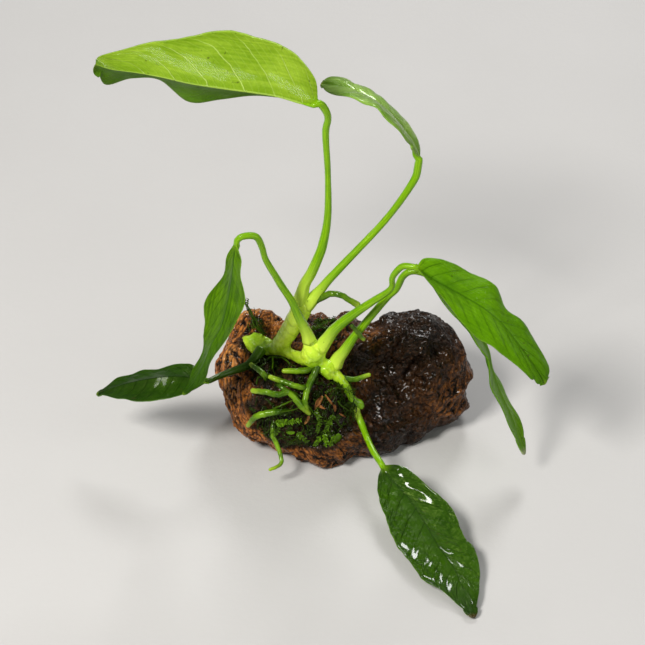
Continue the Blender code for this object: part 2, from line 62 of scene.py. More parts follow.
# Leaves: the stalk is a list of (x, y, z, radius). The blade has its midrib from stalk to tip, and
# its left and right margins, which leave out the ends that they share with the midrib. The tip is
# half the width at which the blade ends.
LEAVES = {
    "tall": {
        "tip": 2.0,
        "stalk": [(-20, -3.5, 75, 3.6), (-19, -3.5, 79.5, 3.2), (-17.5, -3, 85, 2.7),
                  (-14.5, -2.5, 91, 2.5), (-11.5, -1.5, 98.5, 2.3), (-9, 0, 106.5, 2.1),
                  (-7, 3, 119.5, 1.7), (-7, 7, 140.5, 1.4), (-8, 9, 159.5, 1.6), (-7, 9, 167, 1.6),
                  (-7.5, 8.5, 171, 1.7), (-9, 8, 174.5, 1.8), (-10.5, 7, 177, 1.6)],
        "midrib": [(-11.4, 7, 177), (-18, 9, 176), (-29, 13, 177), (-41, 18, 176), (-55, 23, 175),
                   (-69, 27, 175), (-82, 31, 176), (-93, 33, 177), (-104, 34, 178), (-111, 33, 181)],
        "left": [(-13, 13, 187), (-23, 22, 194), (-36, 29, 197), (-51, 35, 197), (-68, 39, 192),
                 (-82, 41, 188), (-96, 42, 184.5), (-109.5, 40, 181)],
        "right": [(-18, 17, 171), (-30, 26, 168), (-42, 32, 165), (-56, 37, 160), (-71, 41, 156),
                  (-84, 46, 165), (-96, 46, 165.5), (-108, 41, 165.5)],
    },
    "leaning": {
        "tip": 2.2,
        "stalk": [(-17, -4, 73, 3.7), (-14.5, -3.5, 76, 3.3), (-12.5, -3, 78.5, 2.8),
                  (-9.5, -2.5, 82.5, 2.2), (-6.5, -2, 86.5, 2.0), (2, 1, 95.5, 1.8), (16, 6, 110, 1.6),
                  (23, 8.5, 118.5, 1.6), (29.5, 11, 128, 1.7), (33, 13, 134, 1.8), (34, 14, 140, 1.8),
                  (34.3, 14, 142.6, 1.6)],
        "midrib": [(34.4, 14, 142.4), (32, 16, 149), (27, 19, 155), (21, 23, 161), (15, 28, 164),
                   (9, 33, 165), (2, 38, 165), (-4, 42, 164), (-10, 45, 163)],
        "left": [(30, 10, 152), (24, 8, 162), (18, 10, 168), (13, 14, 170), (7, 19, 170),
                 (-0.5, 27, 168), (-7.5, 37, 164)],
        "right": [(34, 22, 145), (31, 31, 148), (24, 36, 153), (18, 41, 158), (12, 45, 160),
                  (4, 48, 163), (-6.5, 48, 165)],
    },
    "left": {
        "tip": 0.6,
        "stalk": [(-15.5, -12.5, 59, 3.4), (-17, -12, 64, 2.7), (-20.5, -12.5, 73.5, 2.1),
                  (-23.5, -13, 82.5, 1.8), (-27.5, -14, 91, 1.7), (-31, -15, 99, 1.6),
                  (-35, -16, 108.5, 1.5), (-36.5, -17, 116, 1.5), (-38.5, -18, 122, 1.6),
                  (-41.5, -19, 124, 1.6), (-45.5, -20, 124, 1.5), (-47.5, -20, 122, 1.4)],
        "midrib": [(-48, -20.3, 121.6), (-49, -22, 114), (-50, -24, 105), (-52, -27, 93),
                   (-55, -31, 82), (-60, -33, 72), (-64, -34, 61), (-69, -33, 50), (-74, -31, 42)],
        "left": [(-52, -18, 112), (-55, -16, 99), (-63, -17, 85), (-64, -22, 75), (-64, -25, 67),
                 (-68, -28, 57), (-71, -30, 49)],
        "right": [(-46, -26, 116), (-46, -31, 110), (-44, -35, 99), (-49, -38, 88), (-55, -40, 78),
                  (-61, -39, 65), (-65, -36, 52)],
    },
    "right_upper": {
        "tip": 1.5,
        "stalk": [(-10, -12.5, 55, 3.5), (-7, -12.5, 60.5, 3.0), (-4, -13, 66, 2.6),
                  (1.5, -15, 73.5, 2.3), (7.5, -17, 80.5, 2.0), (14, -19, 87.5, 1.7),
                  (20, -21, 94, 1.5), (22, -21.5, 97.5, 1.4), (22, -22, 102.5, 1.4),
                  (24, -22.5, 107, 1.5), (27, -23, 110, 1.5), (32, -25, 111, 1.4)],
        "midrib": [(32.4, -25, 111), (37, -27, 108), (45, -31, 105), (54, -34, 101), (62, -38, 98),
                   (70, -41, 92), (77, -44, 84), (84, -47, 75), (91, -49, 63)],
        "left": [(37, -22, 114), (48, -22, 111), (58, -23, 106), (68, -26, 101), (74, -31, 92),
                 (83, -35, 84), (92.5, -43, 69.5)],
        "right": [(36, -30, 109), (44, -37, 103), (52, -42, 94), (60, -46, 87), (68, -49, 83),
                  (77, -51, 76), (86, -51, 65.5)],
    },
    "right_lower": {
        "tip": 3.4,
        "stalk": [(-3.5, -13.5, 45.5, 3.7), (-2, -13, 49, 3.2), (0.5, -13, 53, 2.6),
                  (4.5, -13, 60.5, 2.1), (8.5, -13, 67, 1.9), (17, -13, 80, 1.7), (21, -13, 85.5, 1.5),
                  (24, -13, 89, 1.5), (25.5, -13, 92.5, 1.6), (27, -13, 96.5, 1.6),
                  (29.5, -13.5, 99.5, 1.6), (32.5, -14, 100.5, 1.5), (35.6, -15, 100.5, 1.5)],
        "midrib": [(36, -15, 100), (44, -13, 91), (52, -13, 79), (60, -15, 68), (66.5, -18, 59),
                   (69, -22, 50), (73, -27, 40), (79, -31, 27.5), (85, -40, 13)],
        "left": [(41, -21, 96), (49, -24, 86), (58, -26, 74), (64.5, -29, 67), (67.5, -32, 58),
                 (70, -36, 46), (76, -39, 33)],
        "right": [(47, -5, 86), (56, -2, 72), (63, -3, 59), (68.5, -3, 47), (70.5, -12, 42),
                  (76, -18, 33), (83, -24, 22)],
    },
    "front": {
        "tip": 1.5,
        "stalk": [(6, -22, 27, 2.0), (7, -23.5, 23.5, 1.8), (9, -27, 20.5, 1.6), (11, -33, 18.5, 1.5),
                  (14, -43, 18, 1.5), (18, -52, 17.3, 1.5)],
        "midrib": [(18.2, -52.3, 17), (22, -58, 14), (30, -67, 10), (37, -80, 7), (43, -94, 5),
                   (49, -106, 4), (53, -119, 2.5), (57, -135, 1.2)],
        "left": [(16, -60, 14), (17, -71, 11), (21, -86, 8), (28, -102, 6), (36, -115, 5),
                 (46, -124, 3.4)],
        "right": [(28, -54, 18), (37, -63, 16), (48, -74, 12), (54, -88, 9), (60, -102, 6.5),
                  (60, -121, 4)],
    },
    "back_left": {
        "tip": 0.8,
        "stalk": [(-38, -3, 46.5, 2.7), (-43.5, -9, 42.5, 2.2), (-50.5, -12, 41, 1.8),
                  (-57, -16, 41, 1.5), (-62, -21, 42, 1.3)],
        "midrib": [(-62.4, -21.5, 42), (-72, -22, 45), (-83, -22, 45), (-95, -20, 41), (-106, -17, 35),
                   (-116, -14, 28)],
        "left": [(-71, -16, 48), (-83, -12, 43), (-95, -10, 39), (-106, -11, 35)],
        "right": [(-71, -29, 42), (-82, -32, 40), (-95, -30, 37), (-106, -24, 34)],
    },
}

# Looks of the blades. seen is the face that the camera sees. wave, buckle and rumple are heights in
# millimetres of the waved margin, the quilting between side veins and the broad unevenness. scallop
# is the unevenness of the margin as a share of the half width, and each nick in it is (side, share
# along, width as a share, depth as a share of the half width). lines is how strongly the side veins
# show. slant and bend are a side vein's run towards the tip on its way to the margin, as shares of
# the blade's length. dim and right are the strengths of the painted shade that darkens the tip and the
# right half. gloss and coat are the strengths of the two shines, and pucker is the depth of the small
# dimples.
USUAL_LOOK = {
    "seen": "top", "wave": 0.8, "buckle": 0.30, "rumple": 0.6, "scallop": 0.03, "nicks": [],
    "veins": 11, "lines": 0.30, "slant": 0.12, "bend": 0.05, "dim": 0.0, "right": 0.0,
    "gloss": 0.3, "coat": 0.1, "rough": 0.38, "pucker": 0.60, "tip_colour": (0.22, 0.36, 0.02),
}
OWN_LOOKS = {
    "tall": {
        "seen": "under", "wave": 0.6, "buckle": 0.22, "rumple": 0.5, "scallop": 0.02,
        # right is painted shade on the right half of the underside.
        "veins": 8, "lines": 0.75, "slant": 0.19, "bend": 0.02, "right": 0.75,
        "gloss": 0.18, "coat": 0.03, "rough": 0.50, "pucker": 0.45,
        "top": (0.040, 0.150, 0.001), "top_other": (0.085, 0.260, 0.003), "vein": (0.20, 0.42, 0.03),
        "under": (0.125, 0.240, 0.004), "under_other": (0.270, 0.410, 0.026),
        "under_vein": (0.46, 0.64, 0.13),
    },
    "leaning": {
        "wave": 0.6, "veins": 9, "slant": 0.10, "bend": 0.07,
        "nicks": [("left", 0.14, 0.02, 0.30), ("right", 0.55, 0.03, 0.14), ("right", 0.73, 0.03, 0.14)],
        "gloss": 0.4, "coat": 0.30, "rough": 0.34, "pucker": 0.45, "tip_colour": (0.50, 0.55, 0.01),
        # The pale grey-green of the top is partly the leaf's own green and partly a painted sheen.
        "top": (0.105, 0.255, 0.010), "top_other": (0.280, 0.450, 0.060), "vein": (0.18, 0.34, 0.04),
        "under": (0.110, 0.270, 0.010), "under_other": (0.160, 0.340, 0.020),
        "under_vein": (0.26, 0.42, 0.08),
    },
    "left": {
        "buckle": 0.20, "veins": 13, "slant": 0.16, "dim": 0.9,
        "gloss": 0.14, "coat": 0.06, "rough": 0.42, "pucker": 0.50,
        "top": (0.020, 0.072, 0.0005), "top_other": (0.125, 0.285, 0.001), "vein": (0.02, 0.080, 0.0005),
        "under": (0.100, 0.270, 0.006), "under_other": (0.150, 0.340, 0.010),
        "under_vein": (0.24, 0.42, 0.04),
    },
    "right_upper": {
        "buckle": 0.25, "scallop": 0.025, "lines": 0.60, "slant": 0.13, "dim": 0.55,
        "nicks": [("left", 0.62, 0.05, 0.10), ("right", 0.88, 0.02, 0.16)],
        "gloss": 0.2, "coat": 0.05, "rough": 0.40, "pucker": 0.55,
        "top": (0.062, 0.185, 0.0005), "top_other": (0.125, 0.310, 0.001), "vein": (0.034, 0.120, 0.0005),
        "under": (0.130, 0.340, 0.006), "under_other": (0.190, 0.420, 0.010),
        "under_vein": (0.28, 0.48, 0.05),
    },
    "right_lower": {
        "seen": "under", "wave": 1.0, "buckle": 0.25, "rumple": 0.7, "scallop": 0.06, "lines": 0.35,
        # The pale tip is partly its own brown and partly a painted glint.
        "coat": 0.15, "tip_colour": (0.50, 0.50, 0.30),
        "top": (0.040, 0.150, 0.001), "top_other": (0.090, 0.250, 0.002), "vein": (0.03, 0.110, 0.001),
        "under": (0.060, 0.180, 0.001), "under_other": (0.125, 0.290, 0.003),
        "under_vein": (0.19, 0.36, 0.02),
    },
    "front": {
        "wave": 1.0, "buckle": 0.45, "rumple": 0.8, "scallop": 0.05, "lines": 0.25, "dim": 0.25,
        "nicks": [("right", 0.62, 0.03, 0.05)],
        "gloss": 0.20, "coat": 0.50, "rough": 0.32, "pucker": 2.2, "tip_colour": (0.10, 0.035, 0.012),
        "top": (0.014, 0.052, 0.0005), "top_other": (0.036, 0.100, 0.001), "vein": (0.009, 0.036, 0.0005),
        "under": (0.050, 0.160, 0.004), "under_other": (0.090, 0.220, 0.008),
        "under_vein": (0.18, 0.34, 0.03),
    },
    "back_left": {
        "veins": 10, "gloss": 0.15, "coat": 0.08,
        "top": (0.005, 0.024, 0.0005), "top_other": (0.018, 0.058, 0.001), "vein": (0.004, 0.020, 0.0005),
        "under": (0.050, 0.150, 0.006), "under_other": (0.070, 0.190, 0.010),
        "under_vein": (0.15, 0.30, 0.04),
    },
}
BLADE_START = 1.4  # least half width at the stalk
TIP_FROM, TIP_ROUND = 0.945, 0.985  # where a blade starts to round off, and how far it gets
BLADE_BULGE = 0.1  # how far each half arches, as a share of its width
BLADE_SPANS, TIP_SPANS, BLADE_STRIPS = 120, 18, 18
BLADE_THICK = (0.85, 0.35)  # at the midrib and at the margin
FULL_RELIEF_WIDTH = 6  # half width from which a blade has its full waves and quilting
MARGIN_SEEDS = {"left": 3.0, "right": 8.0}
VEIN_STAGGER = 0.018  # how much nearer the stalk the side veins of the left half start
STALK_STEP, STALK_SIDES = 1.0, 20
RIB_REACH = 16  # how far a stalk runs on as the rib under its blade
SHEATH = 0.28  # share of the stalk that its sheath covers
FLOOR_GAP = 0.15  # least height of a blade over the floor
STALK_GREEN = (0.200, 0.410, 0.004)
GREEN_SHINE = (0.72, 1.0, 0.22, 1)  # the shine under the coat of water takes the leaf's colour

# Roots: (x, y, z, radius) from the rhizome outwards.
ROOT_STEP, ROOT_SIDES, ROOT_WANDER = 0.6, 14, 0.25
ROOTS = {
    "root_aerial": [(-13.5, -4, 75.5, 1.7), (-9, -5, 79, 1.6), (-5.5, -6, 81.5, 1.5),
                    (-1, -7, 81.5, 1.4), (3.5, -8, 79, 1.4), (7, -8, 76.5, 1.6)],
    "root_crossing": [(4, -18, 72.5, 1.0), (7, -17.5, 67.5, 1.1), (9.5, -17, 63.5, 1.0)],
    "root_front_long": [(-11.5, -17, 47.5, 1.7), (-14.5, -22, 43.5, 1.6), (-16.5, -26.5, 41, 1.5),
                        (-17.5, -31, 36.5, 1.3), (-15.5, -31, 30.5, 1.0)],
    "root_front_short": [(-13, -14, 46, 1.8), (-15.5, -17.5, 46, 1.6), (-20, -20, 47, 1.5),
                         (-27.5, -20, 47, 1.2)],
    "root_front_slanting": [(-30, -23, 41, 1.2), (-28.5, -27.5, 43.5, 1.2), (-23, -30, 40, 1.4),
                            (-19.5, -32, 36, 1.5), (-15.5, -32, 31, 1.0)],
    "root_left_upper": [(-35, -20, 41, 1.4), (-37.5, -19, 45, 1.4), (-43, -12, 44.5, 1.1)],
    "root_left_middle": [(-14, -22, 38, 1.4), (-20, -27.5, 43.5, 1.3), (-27.5, -25, 44.5, 1.4),
                         (-34, -23, 46, 1.1)],
    "root_left_lower": [(-20, -26, 36, 1.4), (-25.5, -29, 41.5, 1.4), (-30, -30, 41, 1.5),
                        (-35.5, -30, 42.5, 1.4), (-42, -26, 40, 1.2)],
    "root_left_lowest": [(-24, -29, 30, 1.4), (-30.5, -33, 33, 1.5), (-33.5, -33, 32.5, 1.6),
                         (-40, -32.5, 30, 1.5), (-44.5, -31, 23, 1.1)],
    "root_hanging": [(-32, -30, 27, 1.3), (-32.5, -34, 24, 1.3), (-32.5, -36, 21, 1.2),
                     (-30.5, -39, 17.5, 1.1), (-28.5, -44, 13.5, 1.0), (-29.5, -46, 11.5, 0.9),
                     (-34, -48, 10.5, 0.8)],
    "root_right": [(-5, -15, 42, 1.6), (-1.5, -17, 41, 1.4), (5.5, -17, 39.5, 1.3),
                   (12.5, -16, 41.5, 1.0)],
}

# Wood. Its grain runs in rings round a line through the bowl. Heights are cut off at the range, so
# that the skin stays near the solid's.
WOOD_VOXEL, WOOD_SMOOTHING = 0.7, 3
RING_CENTRE = np.array((24, -14, 36))
RING_AXIS = np.array((0, -0.79, 0.62))
RING_STEP, KNOB_STEP = 2.6, 1.9
RELIEF_RANGE = (-2.0, 0.3)
FLAT_FOOT = 2.5  # height over which the relief fades in, so that the foot stays flat
# Patches of the right end: a place, its reach, and whether it is black painted shade in a hollow or brown.
WOOD_SPOTS = [
    ((8, -6, 41), 12, True),
    ((38, 2, 42), 8, True),
    ((52, -11, 21), 13, False),
    ((14, 4, 47), 7, False),
    ((59, 2, 32), 9, False),
]
PAINTED_SHADE_NEAR = (("moss_front", 5.0), ("rhizome", 4.0))  # the solids near which painted shade keeps the wood dark, and how far off

# Rhizome: the way along which its leaf scars follow each other, their distance, and its cut end.
RHIZOME_VOXEL, RHIZOME_SMOOTHING = 0.45, 6
SCAR_WAY, SCAR_STEP = np.array((0.62, 0.05, 0.78)), 4.2
CUT_END, CUT_REACH = np.array((-48.5, 8.5, 45.5)), 2.4


# Curves and meshes


def curve(points, shares):
    """Places at these shares of a smooth curve that passes its control points at equal shares."""
    p = np.asarray(points, float)
    last = len(p) - 1
    at = np.clip(np.asarray(shares, float), 0, 1) * last
    i = np.minimum(at.astype(int), last - 1)
    f = (at - i)[:, None]
    b, c = p[i], p[i + 1]
    a = np.where((i > 0)[:, None], p[np.maximum(i - 1, 0)], 2 * b - c)
    d = np.where((i + 2 <= last)[:, None], p[np.minimum(i + 2, last)], 2 * c - b)
    return 0.5 * (2 * b + (c - a) * f + (2 * a - 5 * b + 4 * c - d) * f**2 + (3 * b - a - 3 * c + d) * f**3)


def even_curve(points, step):
    """Places about a step apart on the curve through the points."""
    dense = curve(points, np.linspace(0, 1, 40 * len(points)))
    strides = np.linalg.norm(np.diff(dense[:, :3], axis=0), axis=1)
    travelled = np.concatenate([[0], np.cumsum(strides)])
    wanted = np.linspace(0, travelled[-1], max(3, round(travelled[-1] / step)) + 1)
    return np.stack([np.interp(wanted, travelled, column) for column in dense.T], axis=1)


def unit(vectors):
    """The vectors at length 1."""
    return vectors / np.maximum(np.linalg.norm(vectors, axis=-1, keepdims=True), 1e-9)


def noise_at(x, y, z):
    """Smooth noise at the places that these numbers and arrays give together."""
    x, y, z = np.broadcast_arrays(x, y, z)
    values = [noise.noise(place) for place in zip(x.flat, y.flat, z.flat)]
    return np.reshape(values, x.shape)


def fractal_at(points, step, smoothness, finer):
    """Noise in three layers, each finer by the same factor, whose broadest bumps are a step apart."""
    return np.array([noise.fractal(place, smoothness, finer, 3) for place in (points / step).tolist()])


def cells_at(places):
    """The distances from each place to the nearest and the next of noise's scattered centres."""
    return np.array([noise.voronoi(place)[0][:2] for place in places.tolist()]).T


def side_frames(path):
    """Two directions across a path at each of its places, turning as little as they can."""
    along = unit(np.gradient(path, axis=0))
    side = unit(np.cross(along[0], (0.3, 0.9, 0.2)))
    sides = []
    for direction in along:
        side = unit(side - side.dot(direction) * direction)
        sides.append(side)
    sides = np.array(sides)
    return sides, np.cross(along, sides), along


def tube(path, radii, sides, swell=None):
    """A closed tube with a rounded far end: points, faces, and each point's share along and turn.

    swell, where given, is a factor on the radius for each ring's share along and each side's turn."""
    across, up, along = side_frames(path)
    turns = 2 * pi * np.arange(sides) / sides
    shares = np.linspace(0, 1, len(path))[:, None]
    reach = radii[:, None] * (swell(shares, turns) if swell else np.ones((len(path), sides)))
    rings = path[:, None] + reach[..., None] * (
        np.cos(turns)[None, :, None] * across[:, None] + np.sin(turns)[None, :, None] * up[:, None]
    )
    tips = [path[0] - along[0] * radii[0] * 0.3, path[-1] + along[-1] * radii[-1] * 0.8]
    shoulder = path[-1] + along[-1] * radii[-1] * 0.55 + (rings[-1] - path[-1]) * 0.62
    rings = np.concatenate([rings, shoulder[None]])
    count = len(rings)
    points = np.concatenate([rings.reshape(-1, 3), tips])
    faces = []
    for i in range(count - 1):
        for k in range(sides):
            a, b = i * sides + k, i * sides + (k + 1) % sides
            faces.append((a, b, b + sides, a + sides))
    first, last = count * sides, count * sides + 1
    for k in range(sides):
        after = (k + 1) % sides
        faces.append((after, k, first))
        faces.append(((count - 1) * sides + k, (count - 1) * sides + after, last))
    share = np.concatenate([np.repeat(np.linspace(0, 1, count), sides), [0, 1]])
    turn = np.concatenate([np.tile(np.arange(sides) / sides, count), [0, 0]])
    return points, faces, {"along": share, "turn": turn}


def joined(parts):
    """Several (points, faces, attributes) as one."""
    points, faces, attributes = [], [], {}
    start = 0
    for part_points, part_faces, part_attributes in parts:
        points.append(part_points)
        faces.extend(tuple(start + i for i in face) for face in part_faces)
        start += len(part_points)
        for name, values in part_attributes.items():
            attributes.setdefault(name, []).append(values)
    return np.concatenate(points), faces, {name: np.concatenate(v) for name, v in attributes.items()}


def placed(name, data):
    """A new object in the scene."""
    made = bpy.data.objects.new(name, data)
    bpy.context.scene.collection.objects.link(made)
    return made


def add_piece(node, part, material):
    """A piece from (points in millimetres, faces, attributes) in place of the solid of this node."""
    points, faces, attributes = part
    mesh = bpy.data.meshes.new("dressed_" + node)
    mesh.from_pydata((np.asarray(points) * MM).tolist(), [], faces)
    for label, values in attributes.items():
        set_value(mesh, label, values)
    shape = bmesh.new()
    shape.from_mesh(mesh)
    bmesh.ops.recalc_face_normals(shape, faces=shape.faces)
    shape.to_mesh(mesh)
    shape.free()
    mesh.shade_smooth()
    return add_mesh(node, mesh, material)


def add_mesh(node, mesh, material):
    """A piece from a mesh in metres that rides with the object in place of the solid of this node."""
    piece = placed("dressed_" + node, mesh)
    mesh.materials.clear()
    mesh.materials.append(material)
    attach(piece, "root")
    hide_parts(node)
    return piece


def skin_over(node, voxel, smooth_steps):
    """A fine even skin over a solid, as a mesh of its own."""
    temporary = placed(node + "_skin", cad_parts[node].data.copy())
    remesh = temporary.modifiers.new("skin", "REMESH")
    remesh.mode = "VOXEL"
    remesh.voxel_size = voxel * MM
    soften = temporary.modifiers.new("soften", "SMOOTH")
    soften.iterations = smooth_steps
    graph = bpy.context.evaluated_depsgraph_get()
    made = bpy.data.meshes.new_from_object(temporary.evaluated_get(graph))
    bpy.data.objects.remove(temporary)
    made.shade_smooth()
    return made


def read_vectors(rows, key):
    values = np.empty(len(rows) * 3, np.float32)
    rows.foreach_get(key, values)
    return values.reshape(-1, 3).astype(float)


def get_points(mesh):
    return read_vectors(mesh.vertices, "co") / MM


def get_normals(mesh):
    return read_vectors(mesh.vertex_normals, "vector")


def mesh_shape(mesh):
    """A mesh's points in millimetres and its faces."""
    return get_points(mesh), [tuple(face.vertices) for face in mesh.polygons]


def tree_of(points, faces):
    return BVHTree.FromPolygons([Vector(p) for p in points], faces)


def nearest(tree, place):
    """The nearest place on a tree's mesh, the direction out of it there, and how far off it is."""
    on_mesh, out, _, gap = tree.find_nearest(Vector(place))
    return np.array(on_mesh), np.array(out), gap


def set_points(mesh, points):
    mesh.vertices.foreach_set("co", (points * MM).astype(np.float32).ravel())
    mesh.update()


def set_value(mesh, name, values):
    layer = mesh.attributes.new(name, "FLOAT", "POINT")
    layer.data.foreach_set("value", np.asarray(values, np.float32))


# Shader building


class Shader:
    """A material under construction: each call adds a node and gives back the output to read."""

    def __init__(self, name):
        self.material = bpy.data.materials.new(name)
        self.material.use_nodes = True
        self.tree = self.material.node_tree
        self.surface = self.tree.nodes["Principled BSDF"]

    def link(self, value, socket):
        if isinstance(value, bpy.types.NodeSocket):
            self.tree.links.new(value, socket)
        elif isinstance(value, tuple) and len(value) == 3 and socket.type == "RGBA":
            socket.default_value = (*value, 1)
        else:
            socket.default_value = value

    def node(self, kind, inputs=None, **settings):
        made = self.tree.nodes.new(kind)
        for key, value in settings.items():
            setattr(made, key, value)
        for key, value in (inputs or {}).items():
            self.link(value, made.inputs[key])
        return made

    def value(self, name):
        return self.node("ShaderNodeAttribute", attribute_name=name).outputs["Fac"]

    def math(self, operation, a, b=0.0):
        return self.node("ShaderNodeMath", {0: a, 1: b}, operation=operation).outputs[0]

    def plus(self, *values):
        return reduce(lambda a, b: self.math("ADD", a, b), values)

    def minus(self, a, b):
        return self.math("SUBTRACT", a, b)

    def times(self, *values):
        return reduce(lambda a, b: self.math("MULTIPLY", a, b), values)

    def place(self):
        return self.node("ShaderNodeTexCoord").outputs["Object"]

    def combine(self, x, y, z=0.0):
        return self.node("ShaderNodeCombineXYZ", {0: x, 1: y, 2: z}).outputs[0]

    def noise(self, vector, scale, detail=3.0, rough=0.55, distort=0.0):
        made = self.node(
            "ShaderNodeTexNoise",
            {"Vector": vector, "Scale": scale, "Detail": detail, "Roughness": rough, "Distortion": distort},
        )
        return made.outputs["Fac"]

    def cells(self, vector, scale, feature="F1"):
        made = self.node("ShaderNodeTexVoronoi", {"Vector": vector, "Scale": scale}, feature=feature)
        return made.outputs["Distance"]

    def ramp(self, value, low, high, to_low=0.0, to_high=1.0):
        """Maps low..high to to_low..to_high, and holds it there."""
        made = self.node(
            "ShaderNodeMapRange",
            {"Value": value, "From Min": low, "From Max": high, "To Min": to_low, "To Max": to_high},
            interpolation_type="SMOOTHSTEP",
            clamp=True,
        )
        return made.outputs["Result"]

    def mix(self, share, a, b):
        made = self.node("ShaderNodeMix", data_type="RGBA")
        self.link(share, made.inputs[0])
        self.link(a, made.inputs[6])
        self.link(b, made.inputs[7])
        return made.outputs[2]

    def layered(self, colour, *layers):
        """A colour under layers, each with its mask, its strength and its own colour."""
        for mask, strength, over in layers:
            share = mask if strength == 1 else self.times(mask, strength)
            colour = self.mix(share, colour, over)
        return colour

    def bump(self, height, distance, under=None):
        made = self.node("ShaderNodeBump", {"Height": height, "Distance": distance * MM, "Strength": 1.0})
        if under is not None:
            self.link(under, made.inputs["Normal"])
        return made.outputs["Normal"]

    def finish(self, colour, rough, normal, coat=0.0, coat_rough=0.12, gloss=0.35, tint=GREEN_SHINE):
        """Closes the material with a coat of water and the strength and tint of the shine under it."""
        for key, value in (("Base Color", colour), ("Roughness", rough), ("Normal", normal)):
            self.link(value, self.surface.inputs[key])
        constants = {"Coat Weight": coat, "Coat Roughness": coat_rough, "Specular IOR Level": gloss,
                     "Specular Tint": tint}
        for key, value in constants.items():
            self.surface.inputs[key].default_value = value
        return self.material


def leaf_patterns(s, look):
    """What a blade is coloured and raised by, in its own coordinates: veins, rib, mottling, dimples."""
    along, across, out, top = (s.value(key) for key in ("leaf_t", "leaf_s", "leaf_w", "leaf_top"))
    place = s.place()
    share_out, side = s.math("ABSOLUTE", across), s.math("SIGN", across)

    # A side vein stays at one value of this, on its way from the midrib out and towards the tip.
    wobble = s.times(s.minus(s.noise(place, 110, 2), 0.5), 0.030)
    bend = s.times(share_out, share_out, look["bend"])
    slanted = s.minus(s.minus(along, s.times(share_out, look["slant"])), bend)
    slanted = s.plus(slanted, s.plus(wobble, s.times(side, VEIN_STAGGER)))

    def lines(count, low, high):
        cycle = s.math("FRACT", s.times(slanted, float(count)))
        return s.ramp(s.times(s.math("ABSOLUTE", s.minus(cycle, 0.5)), 2.0), low, high)

    uneven = s.ramp(s.noise(place, 75, 2), 0.35, 0.60, 0.25, 1.0)
    rib_width = s.plus(s.times(s.minus(1.0, along), 0.55), 0.20)
    net_place = s.combine(s.times(slanted, 95.0), s.times(across, 9.0), top)
    streak_place = s.combine(s.times(along, 5.0), s.times(out, 0.95), side)
    mottle = s.ramp(s.noise(place, 55, 4, 0.6), 0.32, 0.68)
    streak = s.ramp(s.noise(streak_place, 1.0, 3, 0.6), 0.35, 0.7)
    patch = s.ramp(s.noise(place, 24, 3, 0.5, 0.4), 0.40, 0.66)
    dimples = s.plus(s.times(s.noise(net_place, 0.4, 1), 0.6), s.noise(place, 300, 1, 0.4))
    return SimpleNamespace(
        along=along, out=out, top=top, side=side, place=place,
        vein=s.times(lines(look["veins"], 0.92, 0.99), s.ramp(share_out, 0.98, 0.60), uneven),
        halo=s.times(lines(look["veins"], 0.45, 1.0), s.ramp(share_out, 1.0, 0.7)),
        minor=lines(4 * look["veins"], 0.78, 1.0),
        net=s.ramp(s.cells(net_place, 1.0, "DISTANCE_TO_EDGE"), 0.0, 0.10, 1.0, 0.0),
        rib=s.ramp(s.math("DIVIDE", out, rib_width), 1.15, 0.55),
        near_rib=s.ramp(out, 4.5, 0.5),
        edge=s.ramp(share_out, 0.965, 0.99),
        shade=s.plus(s.times(mottle, 0.40), s.times(streak, 0.45), s.times(patch, 0.25)),
        grain=s.noise(place, 900, 2),
        pucker=s.times(dimples, s.ramp(share_out, 0.05, 0.65, 0.35, 1.0)),
    )


def leaf_colour(s, look, p):
    """The two faces of a blade, with painted shade on the right half of the underside, and over both the
    pale edge, painted shade towards the tip, the stalk's green, specks and the tip.
    """
    lines, vein, under_vein = look["lines"], look["vein"], look["under_vein"]
    face = s.layered(
        s.mix(p.shade, look["top"], look["top_other"]),
        (p.near_rib, 0.25, vein),
        (p.minor, 0.12, vein),
        (p.halo, lines * 0.45, vein),
        (p.vein, lines, vein),
        (p.rib, 0.80, vein),
    )
    under = s.layered(
        s.mix(p.shade, look["under"], look["under_other"]),
        (p.near_rib, 0.35, look["under"]),
        (p.minor, 0.12, under_vein),
        (p.vein, lines, under_vein),
        (p.rib, 0.40, under_vein),
        # Painted shade: the right half of the underside darkens towards the top's green.
        (s.ramp(p.side, 0.0, -0.5), look["right"], look["top"]),
    )
    return s.layered(
        s.mix(p.top, under, face),
        (p.edge, 0.35, under_vein),
        # Painted shade: darker towards the tip, as strong as dim.
        (s.ramp(p.along, 0.35, 1.0), look["dim"], look["top"]),
        (s.times(s.ramp(p.along, 0.10, 0.0), s.ramp(p.out, 6.0, 1.0)), 1, STALK_GREEN),
        (s.ramp(s.noise(p.place, 420, 1, 0.4), 0.72, 0.78), 0.6, (0.03, 0.035, 0.005)),
        (s.ramp(p.along, 0.972, 1.0), 0.7, look["tip_colour"]),
    )


def leaf_material(name, look):
    """A blade with a wet gloss, whose veins are sunk on top and stand out below."""
    s = Shader("leaf_" + name)
    p = leaf_patterns(s, look)
    fine = s.ramp(p.grain, 0.3, 0.7, 0.88, 1.10)
    colour = s.node("ShaderNodeMix", {6: leaf_colour(s, look, p), 7: s.combine(fine, fine, fine)},
                    data_type="RGBA", blend_type="MULTIPLY").outputs[2]
    rough = s.ramp(s.noise(p.place, 70, 3), 0.35, 0.65, look["rough"] * 0.75, look["rough"] * 1.35)
    relief = s.plus(s.times(p.vein, 0.9), s.times(p.minor, 0.22))
    relief = s.times(relief, s.minus(1.0, s.times(p.top, 1.8)))
    relief = s.plus(relief, s.times(p.net, -0.16), s.times(p.grain, 0.10))
    normal = s.bump(relief, 0.30, s.bump(p.pucker, look["pucker"]))
    return s.finish(colour, rough, normal, coat=look["coat"], coat_rough=0.08, gloss=look["gloss"])


